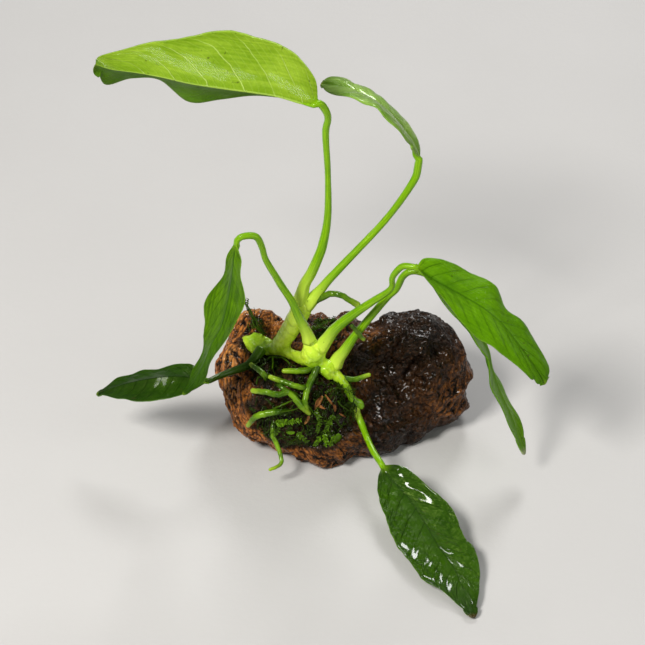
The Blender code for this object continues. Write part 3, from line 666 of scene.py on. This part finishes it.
def stalk_material(name, light, dark, pale):
    """Juicy green with lengthwise fibres, pale at the sheath."""
    s = Shader("stalk_" + name)
    along, place = s.value("along"), s.place()
    angle = s.times(s.value("turn"), 2 * pi)
    around = s.combine(s.times(s.math("SINE", angle), 2.6), s.times(s.math("COSINE", angle), 2.6),
                       s.times(along, 4.0))
    fibre, blotch = s.noise(around, 2.2, 3, 0.6), s.noise(place, 90, 3)
    colour = s.layered(
        s.mix(s.ramp(fibre, 0.35, 0.68), dark, light),
        (s.ramp(blotch, 0.42, 0.72), 0.45, dark),
        (s.ramp(along, 0.26, 0.0), 0.8, pale),
        (s.ramp(s.noise(place, 520, 1), 0.70, 0.76), 0.5, (0.06, 0.12, 0.005)),
    )
    height = s.plus(fibre, s.times(s.noise(place, 1100, 2), 0.35))
    return s.finish(colour, s.ramp(blotch, 0.3, 0.7, 0.20, 0.38), s.bump(height, 0.22), coat=0.25)


def rhizome_material():
    """Grainy yellow green, lifted by painted light high up and darkened by painted shade low down, darker in
    its scars, brown at its cut end.
    """
    s = Shader("rhizome")
    place = s.place()
    patch, grain = s.noise(place, 70, 4, 0.6), s.noise(place, 620, 3, 0.6)
    colour = s.layered(
        s.mix(s.ramp(patch, 0.35, 0.65), (0.250, 0.480, 0.006), (0.560, 0.760, 0.035)),
        (s.ramp(grain, 0.58, 0.75), 0.5, (0.82, 1.0, 0.30)),
        (s.ramp(grain, 0.42, 0.28), 0.5, (0.16, 0.31, 0.006)),
        # Painted light high up and painted shade low down.
        (s.value("high"), 0.75, (0.78, 1.0, 0.080)),
        (s.value("low"), 0.85, (0.110, 0.260, 0.003)),
        (s.value("scar"), 0.45, (0.15, 0.27, 0.008)),
        (s.value("cut"), 1, (0.20, 0.15, 0.02)),
    )
    rough = s.ramp(grain, 0.35, 0.7, 0.22, 0.42)
    return s.finish(colour, rough, s.bump(grain, 0.40), coat=0.6, coat_rough=0.08)


def root_material():
    """Green with fine rings, darkened by painted shade near the rhizome, and pale at the growing end."""
    s = Shader("root")
    along, place = s.value("along"), s.place()
    patch = s.noise(place, 120, 3)
    colour = s.layered(
        s.mix(s.ramp(patch, 0.35, 0.68), (0.036, 0.100, 0.002), (0.160, 0.310, 0.006)),
        (s.ramp(along, 0.70, 1.0), 0.6, (0.38, 0.52, 0.03)),
        # Painted shade: darker towards the rhizome.
        (s.ramp(along, 0.55, 0.0), 0.9, (0.020, 0.055, 0.002)),
    )
    rings = s.noise(s.combine(s.times(along, 26.0), s.value("turn")), 1.0, 2)
    height = s.plus(s.times(s.noise(place, 900, 2), 0.5), rings)
    return s.finish(colour, s.ramp(patch, 0.3, 0.7, 0.25, 0.45), s.bump(height, 0.2), coat=0.3)


def moss_material():
    """Dark wet green that differs from strand to strand, and brown where a scrap is dead."""
    s = Shader("moss")
    fine = s.noise(s.place(), 420, 3)
    brown = s.mix(s.ramp(fine, 0.35, 0.65), (0.045, 0.014, 0.004), (0.34, 0.14, 0.045))
    colour = s.layered(
        s.mix(s.value("tone"), (0.002, 0.006, 0.0003), (0.092, 0.200, 0.003)),
        (s.ramp(fine, 0.45, 0.7), 0.5, (0.012, 0.030, 0.002)),
        (s.value("dead"), 1, brown),
    )
    rough = s.ramp(fine, 0.3, 0.7, 0.30, 0.55)
    return s.finish(colour, rough, s.bump(fine, 0.12), coat=0.2, gloss=0.15)


def wood_material():
    """Wet weathered wood: orange brown at the left end, nearly black in the bowl, glinting all over, with
    painted shade in its cracks and low places, between its knobs, in its hollows and near the moss and the
    rhizome.
    """
    s = Shader("driftwood")
    place = s.place()
    dark = s.value("bowl")
    patch, small = s.noise(place, 60, 4, 0.6), s.noise(place, 300, 4, 0.62)
    grain_place = s.combine(s.times(s.value("rings"), 0.9), s.times(s.value("turns"), 5.0),
                            s.times(s.value("depth"), 0.5))
    grain = s.noise(grain_place, 1.6, 4, 0.6, 0.3)
    knobs = s.cells(place, 560)
    warm = s.layered(
        s.mix(s.ramp(grain, 0.38, 0.62), (0.140, 0.038, 0.006), (0.540, 0.190, 0.034)),
        (s.ramp(patch, 0.48, 0.72), 0.7, (0.76, 0.36, 0.100)),
    )
    brown = s.layered(
        s.mix(s.ramp(grain, 0.38, 0.64), (0.052, 0.014, 0.002), (0.290, 0.100, 0.018)),
        (s.ramp(small, 0.55, 0.72), 0.6, (0.330, 0.150, 0.060)),
    )
    cold = s.layered(
        s.mix(s.ramp(grain, 0.42, 0.66), (0.004, 0.002, 0.0008), (0.030, 0.012, 0.004)),
        (s.ramp(small, 0.54, 0.70), 0.9, (0.115, 0.050, 0.022)),
        # Painted shade: nearly black in the gaps between the knobs.
        (s.ramp(knobs, 0.30, 0.60), 1, (0.002, 0.001, 0.0005)),
    )
    height = s.plus(s.value("relief"), s.times(s.minus(small, 0.5), 1.6))
    colour = s.layered(
        s.mix(s.value("warm"), brown, warm),
        (dark, 1, cold),
        # Painted shade: darker in the cracks and low places, black in the deepest.
        (s.ramp(height, 0.15, -0.35), 0.75, (0.034, 0.014, 0.006)),
        (s.ramp(height, -0.25, -0.95), 1, (0.004, 0.002, 0.001)),
        # Painted shade: nearly black near the moss and the rhizome and in the hollows.
        (s.value("painted_shade"), 0.93, (0.003, 0.003, 0.001)),
    )
    rough = s.ramp(s.noise(place, 420, 3), 0.35, 0.65, 0.18, 0.55)
    bumps = s.minus(s.plus(small, s.times(grain, 0.6)), s.times(knobs, dark, 0.8))
    normal = s.bump(s.noise(place, 1300, 3, 0.6), 0.30, s.bump(bumps, 1.5))
    return s.finish(colour, rough, normal, coat=0.22, coat_rough=0.05, gloss=0.15,
                    tint=(1.0, 0.78, 0.60, 1))


def floor_material():
    s = Shader("floor")
    place = s.place()
    colour = s.mix(s.noise(place, 9, 3), (0.50, 0.49, 0.475), (0.54, 0.53, 0.515))
    return s.finish(colour, 0.75, s.bump(s.noise(place, 300, 2), 0.1), gloss=0.5, tint=(1, 1, 1, 1))


# Pieces


def blade_frame(leaf, look, t):
    """The midrib at the shares t, the ways out to both margins, the blade's normal and its top side."""
    midrib = np.asarray(leaf["midrib"], float)
    rib = curve(midrib, t)
    direction = unit(curve(midrib, t + 0.02) - curve(midrib, t - 0.02))
    least = BLADE_START * (1 - t) + leaf["tip"] * t
    offsets = {}
    for side in ("left", "right"):
        margin_points = [midrib[0], *leaf[side], midrib[-1]]
        offset = curve(margin_points, t) - rib
        spare = unit(np.asarray(leaf[side][0], float) - curve(midrib, [1 / (len(margin_points) - 1)])[0])
        length = np.linalg.norm(offset, axis=1)
        offset = np.where((length >= least)[:, None], offset, spare * least[:, None])
        offsets[side] = rounded_tip(offset, t, direction)
    normal = unit(np.cross(direction, offsets["left"] - offsets["right"]))
    seen = np.sign((normal * unit(np.array(CAMERA_EYE) - rib)).sum(axis=1).mean())
    return rib, offsets, normal, seen if look["seen"] == "top" else -seen


def rounded_tip(offset, t, direction):
    """Replaces the last bit of a margin by a round end, which turns square to the midrib."""
    if t[-1] <= TIP_FROM:
        return offset
    held = offset[np.searchsorted(t, TIP_FROM) - 1]
    share = np.clip((t - TIP_FROM) / (1 - TIP_FROM), 0, 1)[:, None]
    square = held - (direction @ held)[:, None] * direction * share
    round_end = square * np.sqrt(1 - (TIP_ROUND * share) ** 2)
    return np.where(share > 0, round_end, offset)


def margin_factor(look, side, t):
    """A margin's distance from the midrib as a factor: uneven, and cut in at its nicks."""
    seed = MARGIN_SEEDS[side]
    uneven = noise_at(11 * t, seed, 0.5) + 0.6 * noise_at(27 * t, seed, 4.5)
    factor = 1 + look["scallop"] * uneven * np.sin(pi * t) ** 0.5
    for nick_side, where, width, depth in look["nicks"]:
        if nick_side == side:
            factor = factor * (1 - depth * np.exp(-(((t - where) / width) ** 2)))
    return factor


def blade_lift(look, t, s, length, top_sign):
    """How far a blade stands off the straight way from midrib to margin, at the share s of that way."""
    a, side = abs(s), np.sign(s)
    wide = np.clip(length / FULL_RELIEF_WIDTH, 0, 1)
    arch = 4 * a * (1 - a)
    cycle = look["veins"] * (t - look["slant"] * a - look["bend"] * a * a + VEIN_STAGGER * side)
    puff = np.abs(np.sin(pi * cycle)) ** 0.8 - 0.6
    ripple = noise_at(7.0 * t, 3.0 * s, 11.0 + 5 * side)
    broad = noise_at(3.0 * t, 1.3 * s, 31.0)
    wave = np.sin(2 * pi * (4.3 * t + 0.25 * side)) * 0.55 + ripple * 0.9
    lift = arch * BLADE_BULGE * length
    lift = lift + top_sign * wide * look["buckle"] * puff * arch**0.7
    lift = lift + wide * look["wave"] * wave * a**2
    return lift + wide * look["rumple"] * broad * (0.3 + a)


def blade_part(leaf, look):
    """A fine blade between its two margins, with a ridge under its midrib."""
    t = np.linspace(0, TIP_FROM, BLADE_SPANS + 1)
    t = np.concatenate([t, np.linspace(TIP_FROM, 1, TIP_SPANS + 1)[1:]])
    rib, offsets, normal, top_sign = blade_frame(leaf, look, t)
    for side, offset in offsets.items():
        offsets[side] = offset * margin_factor(look, side, t)[:, None]

    u = np.linspace(-1, 1, 2 * BLADE_STRIPS + 1)
    across = np.sign(u) * np.abs(u) ** 1.25
    upper, lower, out = [], [], []
    for s in across:
        offset = offsets["left"] if s > 0 else offsets["right"]
        length = np.linalg.norm(offset, axis=1)
        skin = rib + offset * abs(s) + normal * blade_lift(look, t, s, length, top_sign)[:, None]
        from_rib = abs(s) * length
        thick = BLADE_THICK[1] + (BLADE_THICK[0] - BLADE_THICK[1]) * np.exp(-((from_rib / 3) ** 2))
        ridge = (0.75 * (1 - t) + 0.12) * np.exp(-((from_rib / 0.9) ** 2))
        upper.append(skin + normal * (top_sign * (thick / 2 - 0.25 * ridge))[:, None])
        lower.append(skin - normal * (top_sign * (thick / 2 + ridge))[:, None])
        out.append(from_rib)
    points = np.concatenate([np.array(grid).transpose(1, 0, 2).reshape(-1, 3) for grid in (upper, lower)])
    points[:, 2] = np.maximum(points[:, 2], FLOOR_GAP)
    rows, row = len(t), len(across)
    attributes = {
        "leaf_t": np.tile(np.repeat(t, row), 2),
        "leaf_s": np.tile(across, 2 * rows),
        "leaf_w": np.tile(np.array(out).T.ravel(), 2),
        "leaf_top": np.repeat([1.0, 0.0], rows * row),
    }
    return points, sheet_faces(rows, row), attributes


def sheet_faces(rows, row):
    """Faces that close two grids of the same size, one after the other, into one body."""
    under = rows * row
    faces = []
    for i in range(rows - 1):
        for k in range(row - 1):
            a = i * row + k
            faces.append((a, a + 1, a + row + 1, a + row))
            faces.append((under + a, under + a + row, under + a + row + 1, under + a + 1))
        for k in (0, row - 1):
            a = i * row + k
            faces.append((a, a + row, under + a + row, under + a))
    for i in (0, rows - 1):
        for k in range(row - 1):
            a = i * row + k
            faces.append((a, a + 1, under + a + 1, under + a))
    return faces


def rib_path(leaf, look, radius):
    """The stalk's way on under its blade, where it thins out into the midrib."""
    length = np.linalg.norm(np.diff(np.array(leaf["midrib"], float), axis=0), axis=1).sum()
    share = np.linspace(0, 1, RIB_REACH)[1:]
    rib, _, normal, top_sign = blade_frame(leaf, look, share * RIB_REACH / length)
    radii = radius * (1 - share) ** 1.3 * 0.85 + 0.25
    sunk = radii * np.clip(share * 5, 0, 1)
    return np.column_stack([rib - normal * top_sign * sunk[:, None], radii])


def stalk_part(leaf, look):
    """A stalk that runs on as the rib under its blade, with the two low wings of a sheath on its base."""
    path = even_curve(leaf["stalk"], STALK_STEP)
    count = len(path)
    path = np.concatenate([path, rib_path(leaf, look, path[-1, 3])])
    seed = leaf["stalk"][0][0]

    def swell(share, turns):
        wing = np.exp(-(((turns - 1.9) / 0.28) ** 2)) + np.exp(-(((turns - 4.4) / 0.28) ** 2))
        sheath = np.clip(1 - share / SHEATH, 0, 1)
        uneven = noise_at(14 * share, 1.2 * np.cos(turns), 1.2 * np.sin(turns) + seed)
        return 1 + 0.20 * wing * sheath + 0.06 * uneven

    points, faces, values = tube(path[:, :3], path[:, 3], STALK_SIDES, swell)
    values["along"] = np.minimum(values["along"] * len(path) / count, 1.4)
    return points, faces, values


def root_part(points):
    """A root that wanders a little on its way and has an uneven skin."""
    path = even_curve(points, ROOT_STEP)
    seed = points[0][1]
    steps = np.arange(len(path))[:, None]
    path[:, :3] += noise_at(0.35 * steps, seed, 9.0 * np.arange(3)) * ROOT_WANDER

    def swell(share, turns):
        return 1 + 0.10 * noise_at(30 * share, np.cos(turns), np.sin(turns) + seed)

    return tube(path[:, :3], path[:, 3], ROOT_SIDES, swell)


def leaves():
    """Every stalk and blade. The stalk at the back left is dark, because it lies in the shade."""
    green = stalk_material("green", (0.250, 0.480, 0.004), (0.110, 0.280, 0.001), (0.58, 0.76, 0.07))
    dull = stalk_material("dull", (0.025, 0.080, 0.001), (0.008, 0.030, 0.0005), (0.08, 0.19, 0.005))
    for name, leaf in LEAVES.items():
        look = {**USUAL_LOOK, **OWN_LOOKS[name]}
        finish = dull if name == "back_left" else green
        add_piece("stalk_" + name, stalk_part(leaf, look), finish)
        add_piece("leaf_" + name, blade_part(leaf, look), leaf_material(name, look))


def roots():
    finish = root_material()
    for name, points in ROOTS.items():
        add_piece(name, root_part(points), finish)


def ease(value, low, high):
    """0 at low, 1 at high, and a smooth rise between them."""
    share = np.clip((value - low) / (high - low), 0, 1)
    return share * share * (3 - 2 * share)


def wood_grain(points):
    """Each point's ring, its direction from the rings' axis, and its depth along that axis."""
    from_centre = points - RING_CENTRE
    depth = from_centre @ RING_AXIS
    flat = from_centre - depth[:, None] * RING_AXIS
    return np.linalg.norm(flat, axis=1), unit(flat), depth


def wood_zones(points):
    """Shares from 0 to 1 of the warm left end, the dark right end, and the painted shade that blackens its
    hollows.
    """
    wander = fractal_at(points, 16, 0.8, 2.0) * 9
    warm = np.clip((-8 - points[:, 0] + wander * 2) / 22, 0, 1)
    bowl = np.clip((points[:, 0] + wander - 2) / 14, 0, 1)
    hollow_shade = np.zeros(len(points))
    for centre, reach, black in WOOD_SPOTS:
        spot = np.exp(-((np.linalg.norm(points - np.array(centre), axis=1) + wander * 0.4) / reach) ** 2)
        # The black spots are painted shade in the hollows.
        if black:
            hollow_shade = np.maximum(hollow_shade, spot)
        else:
            bowl = bowl * (1 - np.clip(1.3 * spot, 0, 1))
    return warm, bowl, hollow_shade


def wood_relief(points, rings, turns, depth, bowl):
    """Heights of the ridges, plates, knobs and cracks, and of the broad lumps that they lie on."""
    bend = 1.5 * noise_at(*(points / 7).T) + 0.5 * noise_at(*(points / 2.5).T)
    a, b, c = rings / RING_STEP + bend, turns[:, 0] * 4.5, turns[:, 2] * 4.5 + depth / 4 + bend
    ridge = 0.4 - 1.3 * np.abs(noise_at(a, b, c))
    line = np.abs(noise_at(a * 0.5 + 7, b * 0.6, c * 0.6))
    near, next_one = cells_at(np.column_stack([a * 0.45, b * 0.9, c * 0.9]))
    plate_edge = 1 - ease(next_one - near, 0.0, 0.14)
    knob = 0.5 - cells_at(points / KNOB_STEP)[0]
    crack = 1.5 * (1 - ease(line, 0.0, 0.07)) + 0.8 * plate_edge * (1 - bowl)
    fine = 0.45 * fractal_at(points, 2.0, 0.8, 2.1)
    relief = ridge * (1 - 0.4 * bowl) + 0.8 * knob * bowl + fine - crack * (1 - 0.5 * bowl)
    return relief, 0.9 * fractal_at(points, 6, 0.9, 2.1)


def driftwood():
    """The solid's skin with a finer relief than the solid carries."""
    mesh = skin_over("driftwood", WOOD_VOXEL, WOOD_SMOOTHING)
    points, normals = get_points(mesh), get_normals(mesh)
    rings, turns, depth = wood_grain(points)
    warm, bowl, painted_shade = wood_zones(points)
    relief, broad = wood_relief(points, rings, turns, depth, bowl)
    above = np.clip(points[:, 2] / FLAT_FOOT, 0, 1)
    points = points + normals * (np.clip(0.8 * relief + broad, *RELIEF_RANGE) * above)[:, None]
    points[:, 2] = np.maximum(points[:, 2], 0)
    set_points(mesh, points)
    # Painted shade: the wood near the moss and the rhizome is made nearly black.
    for node, reach in PAINTED_SHADE_NEAR:
        cover = tree_of(*mesh_shape(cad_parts[node].data))
        gaps = np.array([nearest(cover, place)[2] for place in points])
        painted_shade = np.maximum(painted_shade, 1 - ease(gaps, 1.0, reach))
    for name, values in (("relief", relief), ("rings", rings), ("turns", turns[:, 0]), ("depth", depth),
                         ("warm", warm), ("bowl", bowl), ("painted_shade", painted_shade)):
        set_value(mesh, name, values)
    return add_mesh("driftwood", mesh, wood_material())


def rhizome():
    """The solid's skin with fine lumps and the rings that fallen leaves have left."""
    mesh = skin_over("rhizome", RHIZOME_VOXEL, RHIZOME_SMOOTHING)
    points, normals = get_points(mesh), get_normals(mesh)
    heights = fractal_at(points, 3.2, 0.9, 2.0)
    scar = np.exp(-((np.abs((points @ SCAR_WAY / SCAR_STEP + 0.15 * heights) % 1 - 0.5) / 0.09) ** 2))
    points = points + normals * (0.22 * heights - 0.12 * scar)[:, None]
    set_points(mesh, points)
    cut = np.exp(-((np.linalg.norm(points - CUT_END, axis=1) / CUT_REACH) ** 2))
    set_value(mesh, "scar", scar * np.clip(heights + 0.6, 0, 1))
    set_value(mesh, "cut", np.clip(cut * 1.4, 0, 1))
    # How much painted light brightens the rhizome high up and painted shade darkens it low down.
    set_value(mesh, "high", ease(points[:, 2], 48, 62))
    set_value(mesh, "low", ease(-points[:, 2], -42, -34))
    return add_mesh("rhizome", mesh, rhizome_material())


# Moss

# drift is the way that strands and sprigs tend to grow, and tone how light they are.
MOSS = {
    "moss_front": {"strands": 260, "sprigs": 52, "length": (4, 12), "drift": (0, -0.25, -0.5), "tone": 0.55},
    "moss_middle": {"strands": 50, "sprigs": 24, "length": (4, 8), "drift": (0, 0, 0), "tone": 1.0},
    "moss_left": {"strands": 36, "sprigs": 5, "length": (6, 12), "drift": (-0.6, 0.4, 1.6), "tone": 0.9},
}
# Bits at chosen places of a tuft. A thread or a big sprig has its way from first to last point, then
# a radius or the length of its leaflets, then its tone from dark to light. A scrap has its middle,
# the way that it points, its length, half width and curl, and whether it is dead.
THREADS = {
    "moss_front": [
        [(-36, -8, 44), (-31, -7, 45), (-28, -10, 46), (-24, -15, 46), 0.55, 0.75],
        [(-33, -8, 45), (-33, -12, 45), (-33, -16, 45), 0.55, 0.9],
        [(-28.5, -9, 46), (-25, -13, 46), (-21.7, -16.7, 46.5), 0.40, 0.35],
        [(-42, -22, 38), (-39.6, -20.5, 42), (-36.6, -18, 45.5), 0.45, 0.35],
        [(-32, -31.6, 33.7), (-27, -31.3, 36.4), (-22.4, -30, 38.2), 0.55, 0.5],
        [(-29, -33.4, 33.3), (-24, -33, 34), (-19.4, -32.2, 35.2), 0.50, 0.30],
        [(-2.3, -28.6, 36), (0, -29, 33), (2.9, -28.3, 30), 0.40, 0.35],
        [(-20, -30, 38), (-16, -31, 35), (-13, -32, 30), 0.40, 0.4],
    ],
    "moss_left": [
        [(-37.5, 6, 48), (-40, 6, 54), (-43, 8, 60), (-47, 10, 66), 0.55, 0.35],
        [(-39, 6, 50), (-41.5, 7, 55), (-44, 9, 61), 0.42, 0.5],
        [(-40, 8, 49), (-43, 10, 55), (-46.5, 11.5, 62), 0.45, 0.25],
    ],
    "moss_middle": [
        [(-15, 5, 51), (-10, 5, 53), (-4, 5, 52), 0.5, 0.6],
    ],
}
BIG_SPRIGS = {
    "moss_front": [
        [(-32, -35.5, 29), (-25.4, -35.5, 29), (-20, -35.2, 30), 2.6, 0.85],
        [(-32, -37.5, 22), (-30.5, -37, 25), (-29, -36, 28.5), 1.8, 0.45],
        [(-13.5, -31, 32.5), (-10.5, -33, 28), (-12, -35.2, 23), 2.0, 0.45],
        [(-4.6, -31.4, 30.6), (-6, -33.8, 26.8), (-8.3, -35, 23), 1.9, 0.5],
        [(-9, -34.5, 22), (-7.5, -36, 18), (-6.8, -36.5, 14), 2.1, 0.95],
        [(-4.5, -34, 21), (-5, -35.5, 18), (-6, -36.5, 14.5), 1.9, 0.85],
        [(-10.5, -35.5, 21), (-12, -36.5, 17.5), (-13.5, -37, 15), 1.8, 0.8],
        [(-21, -37, 25), (-19.5, -38, 22.6), (-16.5, -37.5, 19), 1.8, 0.6],
        [(-37, -18, 45), (-32, -20, 42), (-28, -21, 42), 1.7, 0.4],
    ],
    "moss_middle": [
        [(-14, 4, 51), (-9, 7, 53.5), (-4, 10, 54), 1.9, 0.75],
        [(-12, 9, 53), (-8, 4, 52), (-4, 1, 50), 1.8, 0.6],
    ],
}
SCRAPS = {
    "moss_front": [
        [(-11.3, -28.6, 35), (-0.5, -0.3, -1.0), 7.5, 2.4, 1.9, 1],
        [(-10, -29, 33), (1.0, -0.3, -0.3), 5.0, 1.6, 2.2, 1],
        [(-5.5, -29, 36), (0.8, -0.2, -1.0), 8.5, 1.5, 2.3, 1],
        [(-4, -30, 33), (0.2, -0.2, -1.0), 4.5, 1.2, 1.6, 1],
        [(-0.5, -30, 28.6), (0.9, -0.1, -0.5), 4.5, 0.9, 2.0, 1],
        [(-2, -34.5, 17), (0.25, -0.3, -1.0), 7.5, 2.2, 0.4, 0],
        [(-17, -34, 29), (-0.6, -0.2, -1.0), 4.5, 1.3, 1.4, 1],
        [(-24, -36, 24), (-1.0, -0.2, -0.2), 4.5, 1.1, 0.8, 0],
    ],
}
SCRAP_TONE = 0.9
STRAND_SIDES, STRAND_TAPER = 5, 0.65
LOOSE_STEP, LAID_STEP = 1.0, 0.9  # from ring to ring of a strand at a random or at a chosen place
SPRIG_STEM = 0.2  # radius
LEAFLET_ROWS, LEAFLET_COLUMNS, LEAFLET_THICK = 6, 5, 0.1
WOOD_GAP = 1.0  # nearer the wood than this nothing grows
CLUMP = 7.0  # how far apart lighter and darker clumps of moss are


def surface_draws(points, faces, count):
    """Random places on a mesh, spread by area, each with its face's normal."""
    corners = points[np.array([face[:3] for face in faces])]
    normals = np.cross(corners[:, 1] - corners[:, 0], corners[:, 2] - corners[:, 0])
    areas = np.linalg.norm(normals, axis=1)
    picks = DRAWS.choice(len(faces), count, p=areas / areas.sum())
    a, b = DRAWS.random(count), DRAWS.random(count)
    flip = a + b > 1
    a, b = np.where(flip, 1 - a, a), np.where(flip, 1 - b, b)
    c = corners[picks]
    places = c[:, 0] + (c[:, 1] - c[:, 0]) * a[:, None] + (c[:, 2] - c[:, 0]) * b[:, None]
    return places, unit(normals)[picks]


def strand(path, radius, tone):
    """A thin thread that tapers to its tip."""
    radii = radius * (1 - STRAND_TAPER * np.linspace(0, 1, len(path)) ** 2)
    points, faces, _ = tube(path, radii, STRAND_SIDES)
    return points, faces, {"tone": np.full(len(points), tone), "dead": np.zeros(len(points))}


def leaflet(base, along, aside, length, half, curl, tone, dead):
    """A small thin pointed leaf from its base, rolled round its length by curl radians a side."""
    out = np.cross(along, aside)
    top = []
    for t in np.linspace(0, 1, LEAFLET_ROWS):
        width = half * max(0.05, sin(pi * min(1.0, 0.08 + 0.92 * t)) ** 0.8)
        for turn in np.linspace(-1, 1, LEAFLET_COLUMNS) * curl:
            reach = width / max(curl, 0.05)
            if dead:
                reach *= 1 + 0.7 * noise.noise((base[0] + 2.3 * t, base[1], 3 * turn))
            top.append(base + along * length * t + aside * reach * sin(turn)
                       + out * (reach * (1 - cos(turn)) - 0.12 * length * t * t))
    top = np.array(top)
    points = np.concatenate([top + out * LEAFLET_THICK / 2, top - out * LEAFLET_THICK / 2])
    values = {"tone": np.full(len(points), tone), "dead": np.full(len(points), dead)}
    return points, sheet_faces(LEAFLET_ROWS, LEAFLET_COLUMNS), values


def sprig(path, tuft, leaf_length, tone):
    """A stem with leaflets to both sides all along it."""
    parts = [strand(path, SPRIG_STEM, tone * 0.6)]
    for k in range(1, len(path)):
        heading = unit(path[k] - path[k - 1])
        out = nearest(tuft, path[k])[1]
        aside = unit(np.cross(heading, out))
        for side in (-1, 1):
            reach = unit(heading * DRAWS.uniform(0.3, 1.1) + aside * side + out * DRAWS.uniform(-0.3, 0.5))
            across = unit(np.cross(reach, out + DRAWS.normal(size=3) * 0.4))
            length = leaf_length * DRAWS.uniform(0.7, 1.2) * (1 - 0.4 * k / len(path))
            parts.append(leaflet(path[k], reach, across, length, length * 0.27, 0.5,
                                 min(1.0, tone * DRAWS.uniform(0.7, 1.4)), 0))
    return joined(parts)


def laid(points, tuft, proud):
    """The curve through the points, laid on a tuft's solid."""
    path = []
    for place in even_curve(points, LAID_STEP):
        on_tuft, out, _ = nearest(tuft, place)
        path.append(on_tuft + out * proud)
    return np.array(path)


def wandering(place, out, length, drift, tuft, rise):
    """A loose way over a tuft's solid, from under its skin up to rise above it."""
    heading = unit(np.cross(out, DRAWS.normal(size=3)) + np.array(drift))
    steps = max(4, round(length / 1.1))
    deep = DRAWS.uniform(0.6, 2.2)
    path = [place - out * deep]
    for k in range(1, steps + 1):
        heading = unit(heading + DRAWS.normal(size=3) * 0.30 + np.array(drift) * 0.1)
        on_tuft, face_out, _ = nearest(tuft, path[-1] + heading * length / steps)
        path.append(on_tuft + face_out * (rise * k / steps - deep * (1 - k / steps)))
    return even_curve(path, LOOSE_STEP)


def grown(habit, tuft, places, normals, wood_tree):
    """Strands close to the tuft's solid, then sprigs over them, both lighter in some clumps."""
    parts = []
    for place, out in zip(places, normals):
        if len(parts) == habit["strands"] + habit["sprigs"]:
            break
        if nearest(wood_tree, place)[2] < WOOD_GAP:
            continue
        length = DRAWS.uniform(*habit["length"])
        clump = 0.5 + 0.8 * noise.noise(tuple(place / CLUMP))
        tone = float(np.clip(clump * DRAWS.uniform(0.1, 1.3) * habit["tone"], 0.02, 1.0))
        if len(parts) < habit["strands"]:
            path = wandering(place, out, length, habit["drift"], tuft, 0.0)
            parts.append(strand(path, DRAWS.uniform(0.14, 0.30), tone * 0.6))
        else:
            path = wandering(place, out, length * 0.75, habit["drift"], tuft, 0.6)
            parts.append(sprig(path, tuft, DRAWS.uniform(1.0, 1.7), tone))
    return parts


def scrap(tuft, middle, points_to, length, half, curl, dead):
    """A curled scrap of leaf that lies on the tuft."""
    on_tuft, out, _ = nearest(tuft, middle)
    aside = unit(np.cross(unit(np.array(points_to, float)), out))
    along = unit(np.cross(out, aside))
    base = on_tuft + out * 0.6 - along * length / 2
    return leaflet(base, along, -aside, length, half, curl, SCRAP_TONE, dead)


def moss(name, habit, finish, wood_tree):
    """One tuft: what has grown at random places, and the bits at chosen ones."""
    points, faces = mesh_shape(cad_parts[name].data)
    tuft = tree_of(points, faces)
    places, normals = surface_draws(points, faces, (habit["strands"] + habit["sprigs"]) * 3)
    parts = grown(habit, tuft, places, normals, wood_tree)
    for *way, radius, tone in THREADS.get(name, []):
        parts.append(strand(laid(way, tuft, 0.3), radius, tone))
    for *way, size, tone in BIG_SPRIGS.get(name, []):
        parts.append(sprig(laid(way, tuft, 0.4), tuft, size, tone))
    parts += [scrap(tuft, *row) for row in SCRAPS.get(name, [])]
    return add_piece(name, joined(parts), finish)


# The stage, in metres

LAMP_AIM = Vector((0, 0, 0.07))
SKY_COLOUR, SKY_STRENGTH = (0.97, 0.98, 1.0, 1), 0.18
FLOOR_HALF, FLOOR_BELOW = 3.0, 0.0002
SENSOR_WIDTH = 36


def camera():
    data = bpy.data.cameras.new("camera")
    data.lens = CAMERA_LENS
    data.sensor_width = SENSOR_WIDTH
    data.clip_start, data.clip_end = 0.01, 20
    obj = placed("camera", data)
    obj.location = CAMERA_EYE * MM
    obj.rotation_euler = (pi / 2 - CAMERA_ELEVATION, 0, 0)
    bpy.context.scene.camera = obj


def lamp(name, place, size, power, colour=(1, 1, 1)):
    """A square soft light at a place in metres, turned to the middle of the plant."""
    data = bpy.data.lights.new(name, "AREA")
    data.shape = "SQUARE"
    data.size = size
    data.energy = power
    data.color = colour
    obj = placed(name, data)
    obj.location = place
    aim = LAMP_AIM - obj.location
    obj.rotation_euler = aim.to_track_quat("-Z", "Y").to_euler()


def studio():
    """A faint even sky, three lamps and a plain pale floor."""
    world = bpy.data.worlds.new("studio")
    world.use_nodes = True
    background = world.node_tree.nodes["Background"]
    background.inputs["Color"].default_value = SKY_COLOUR
    background.inputs["Strength"].default_value = SKY_STRENGTH
    bpy.context.scene.world = world
    bpy.context.scene.view_settings.view_transform = "Standard"
    lamp("key", (-0.65, -0.65, 1.05), 0.36, 20, (1.0, 0.98, 0.95))
    lamp("fill", (0.95, -0.55, 0.75), 0.8, 5)
    lamp("back", (0.20, 0.95, 0.85), 0.3, 7)
    mesh = bpy.data.meshes.new("floor")
    corners = [(x * FLOOR_HALF, y * FLOOR_HALF, 0) for x, y in ((-1, -1), (1, -1), (1, 1), (-1, 1))]
    mesh.from_pydata(corners, [], [(0, 1, 2, 3)])
    floor = placed("floor", mesh)
    floor.location.z = -FLOOR_BELOW
    mesh.materials.append(floor_material())


camera()
studio()
wood = driftwood()
rhizome()
leaves()
roots()
wood_tree = tree_of(*mesh_shape(wood.data))
moss_finish = moss_material()
for moss_name, moss_habit in MOSS.items():
    moss(moss_name, moss_habit, moss_finish, wood_tree)
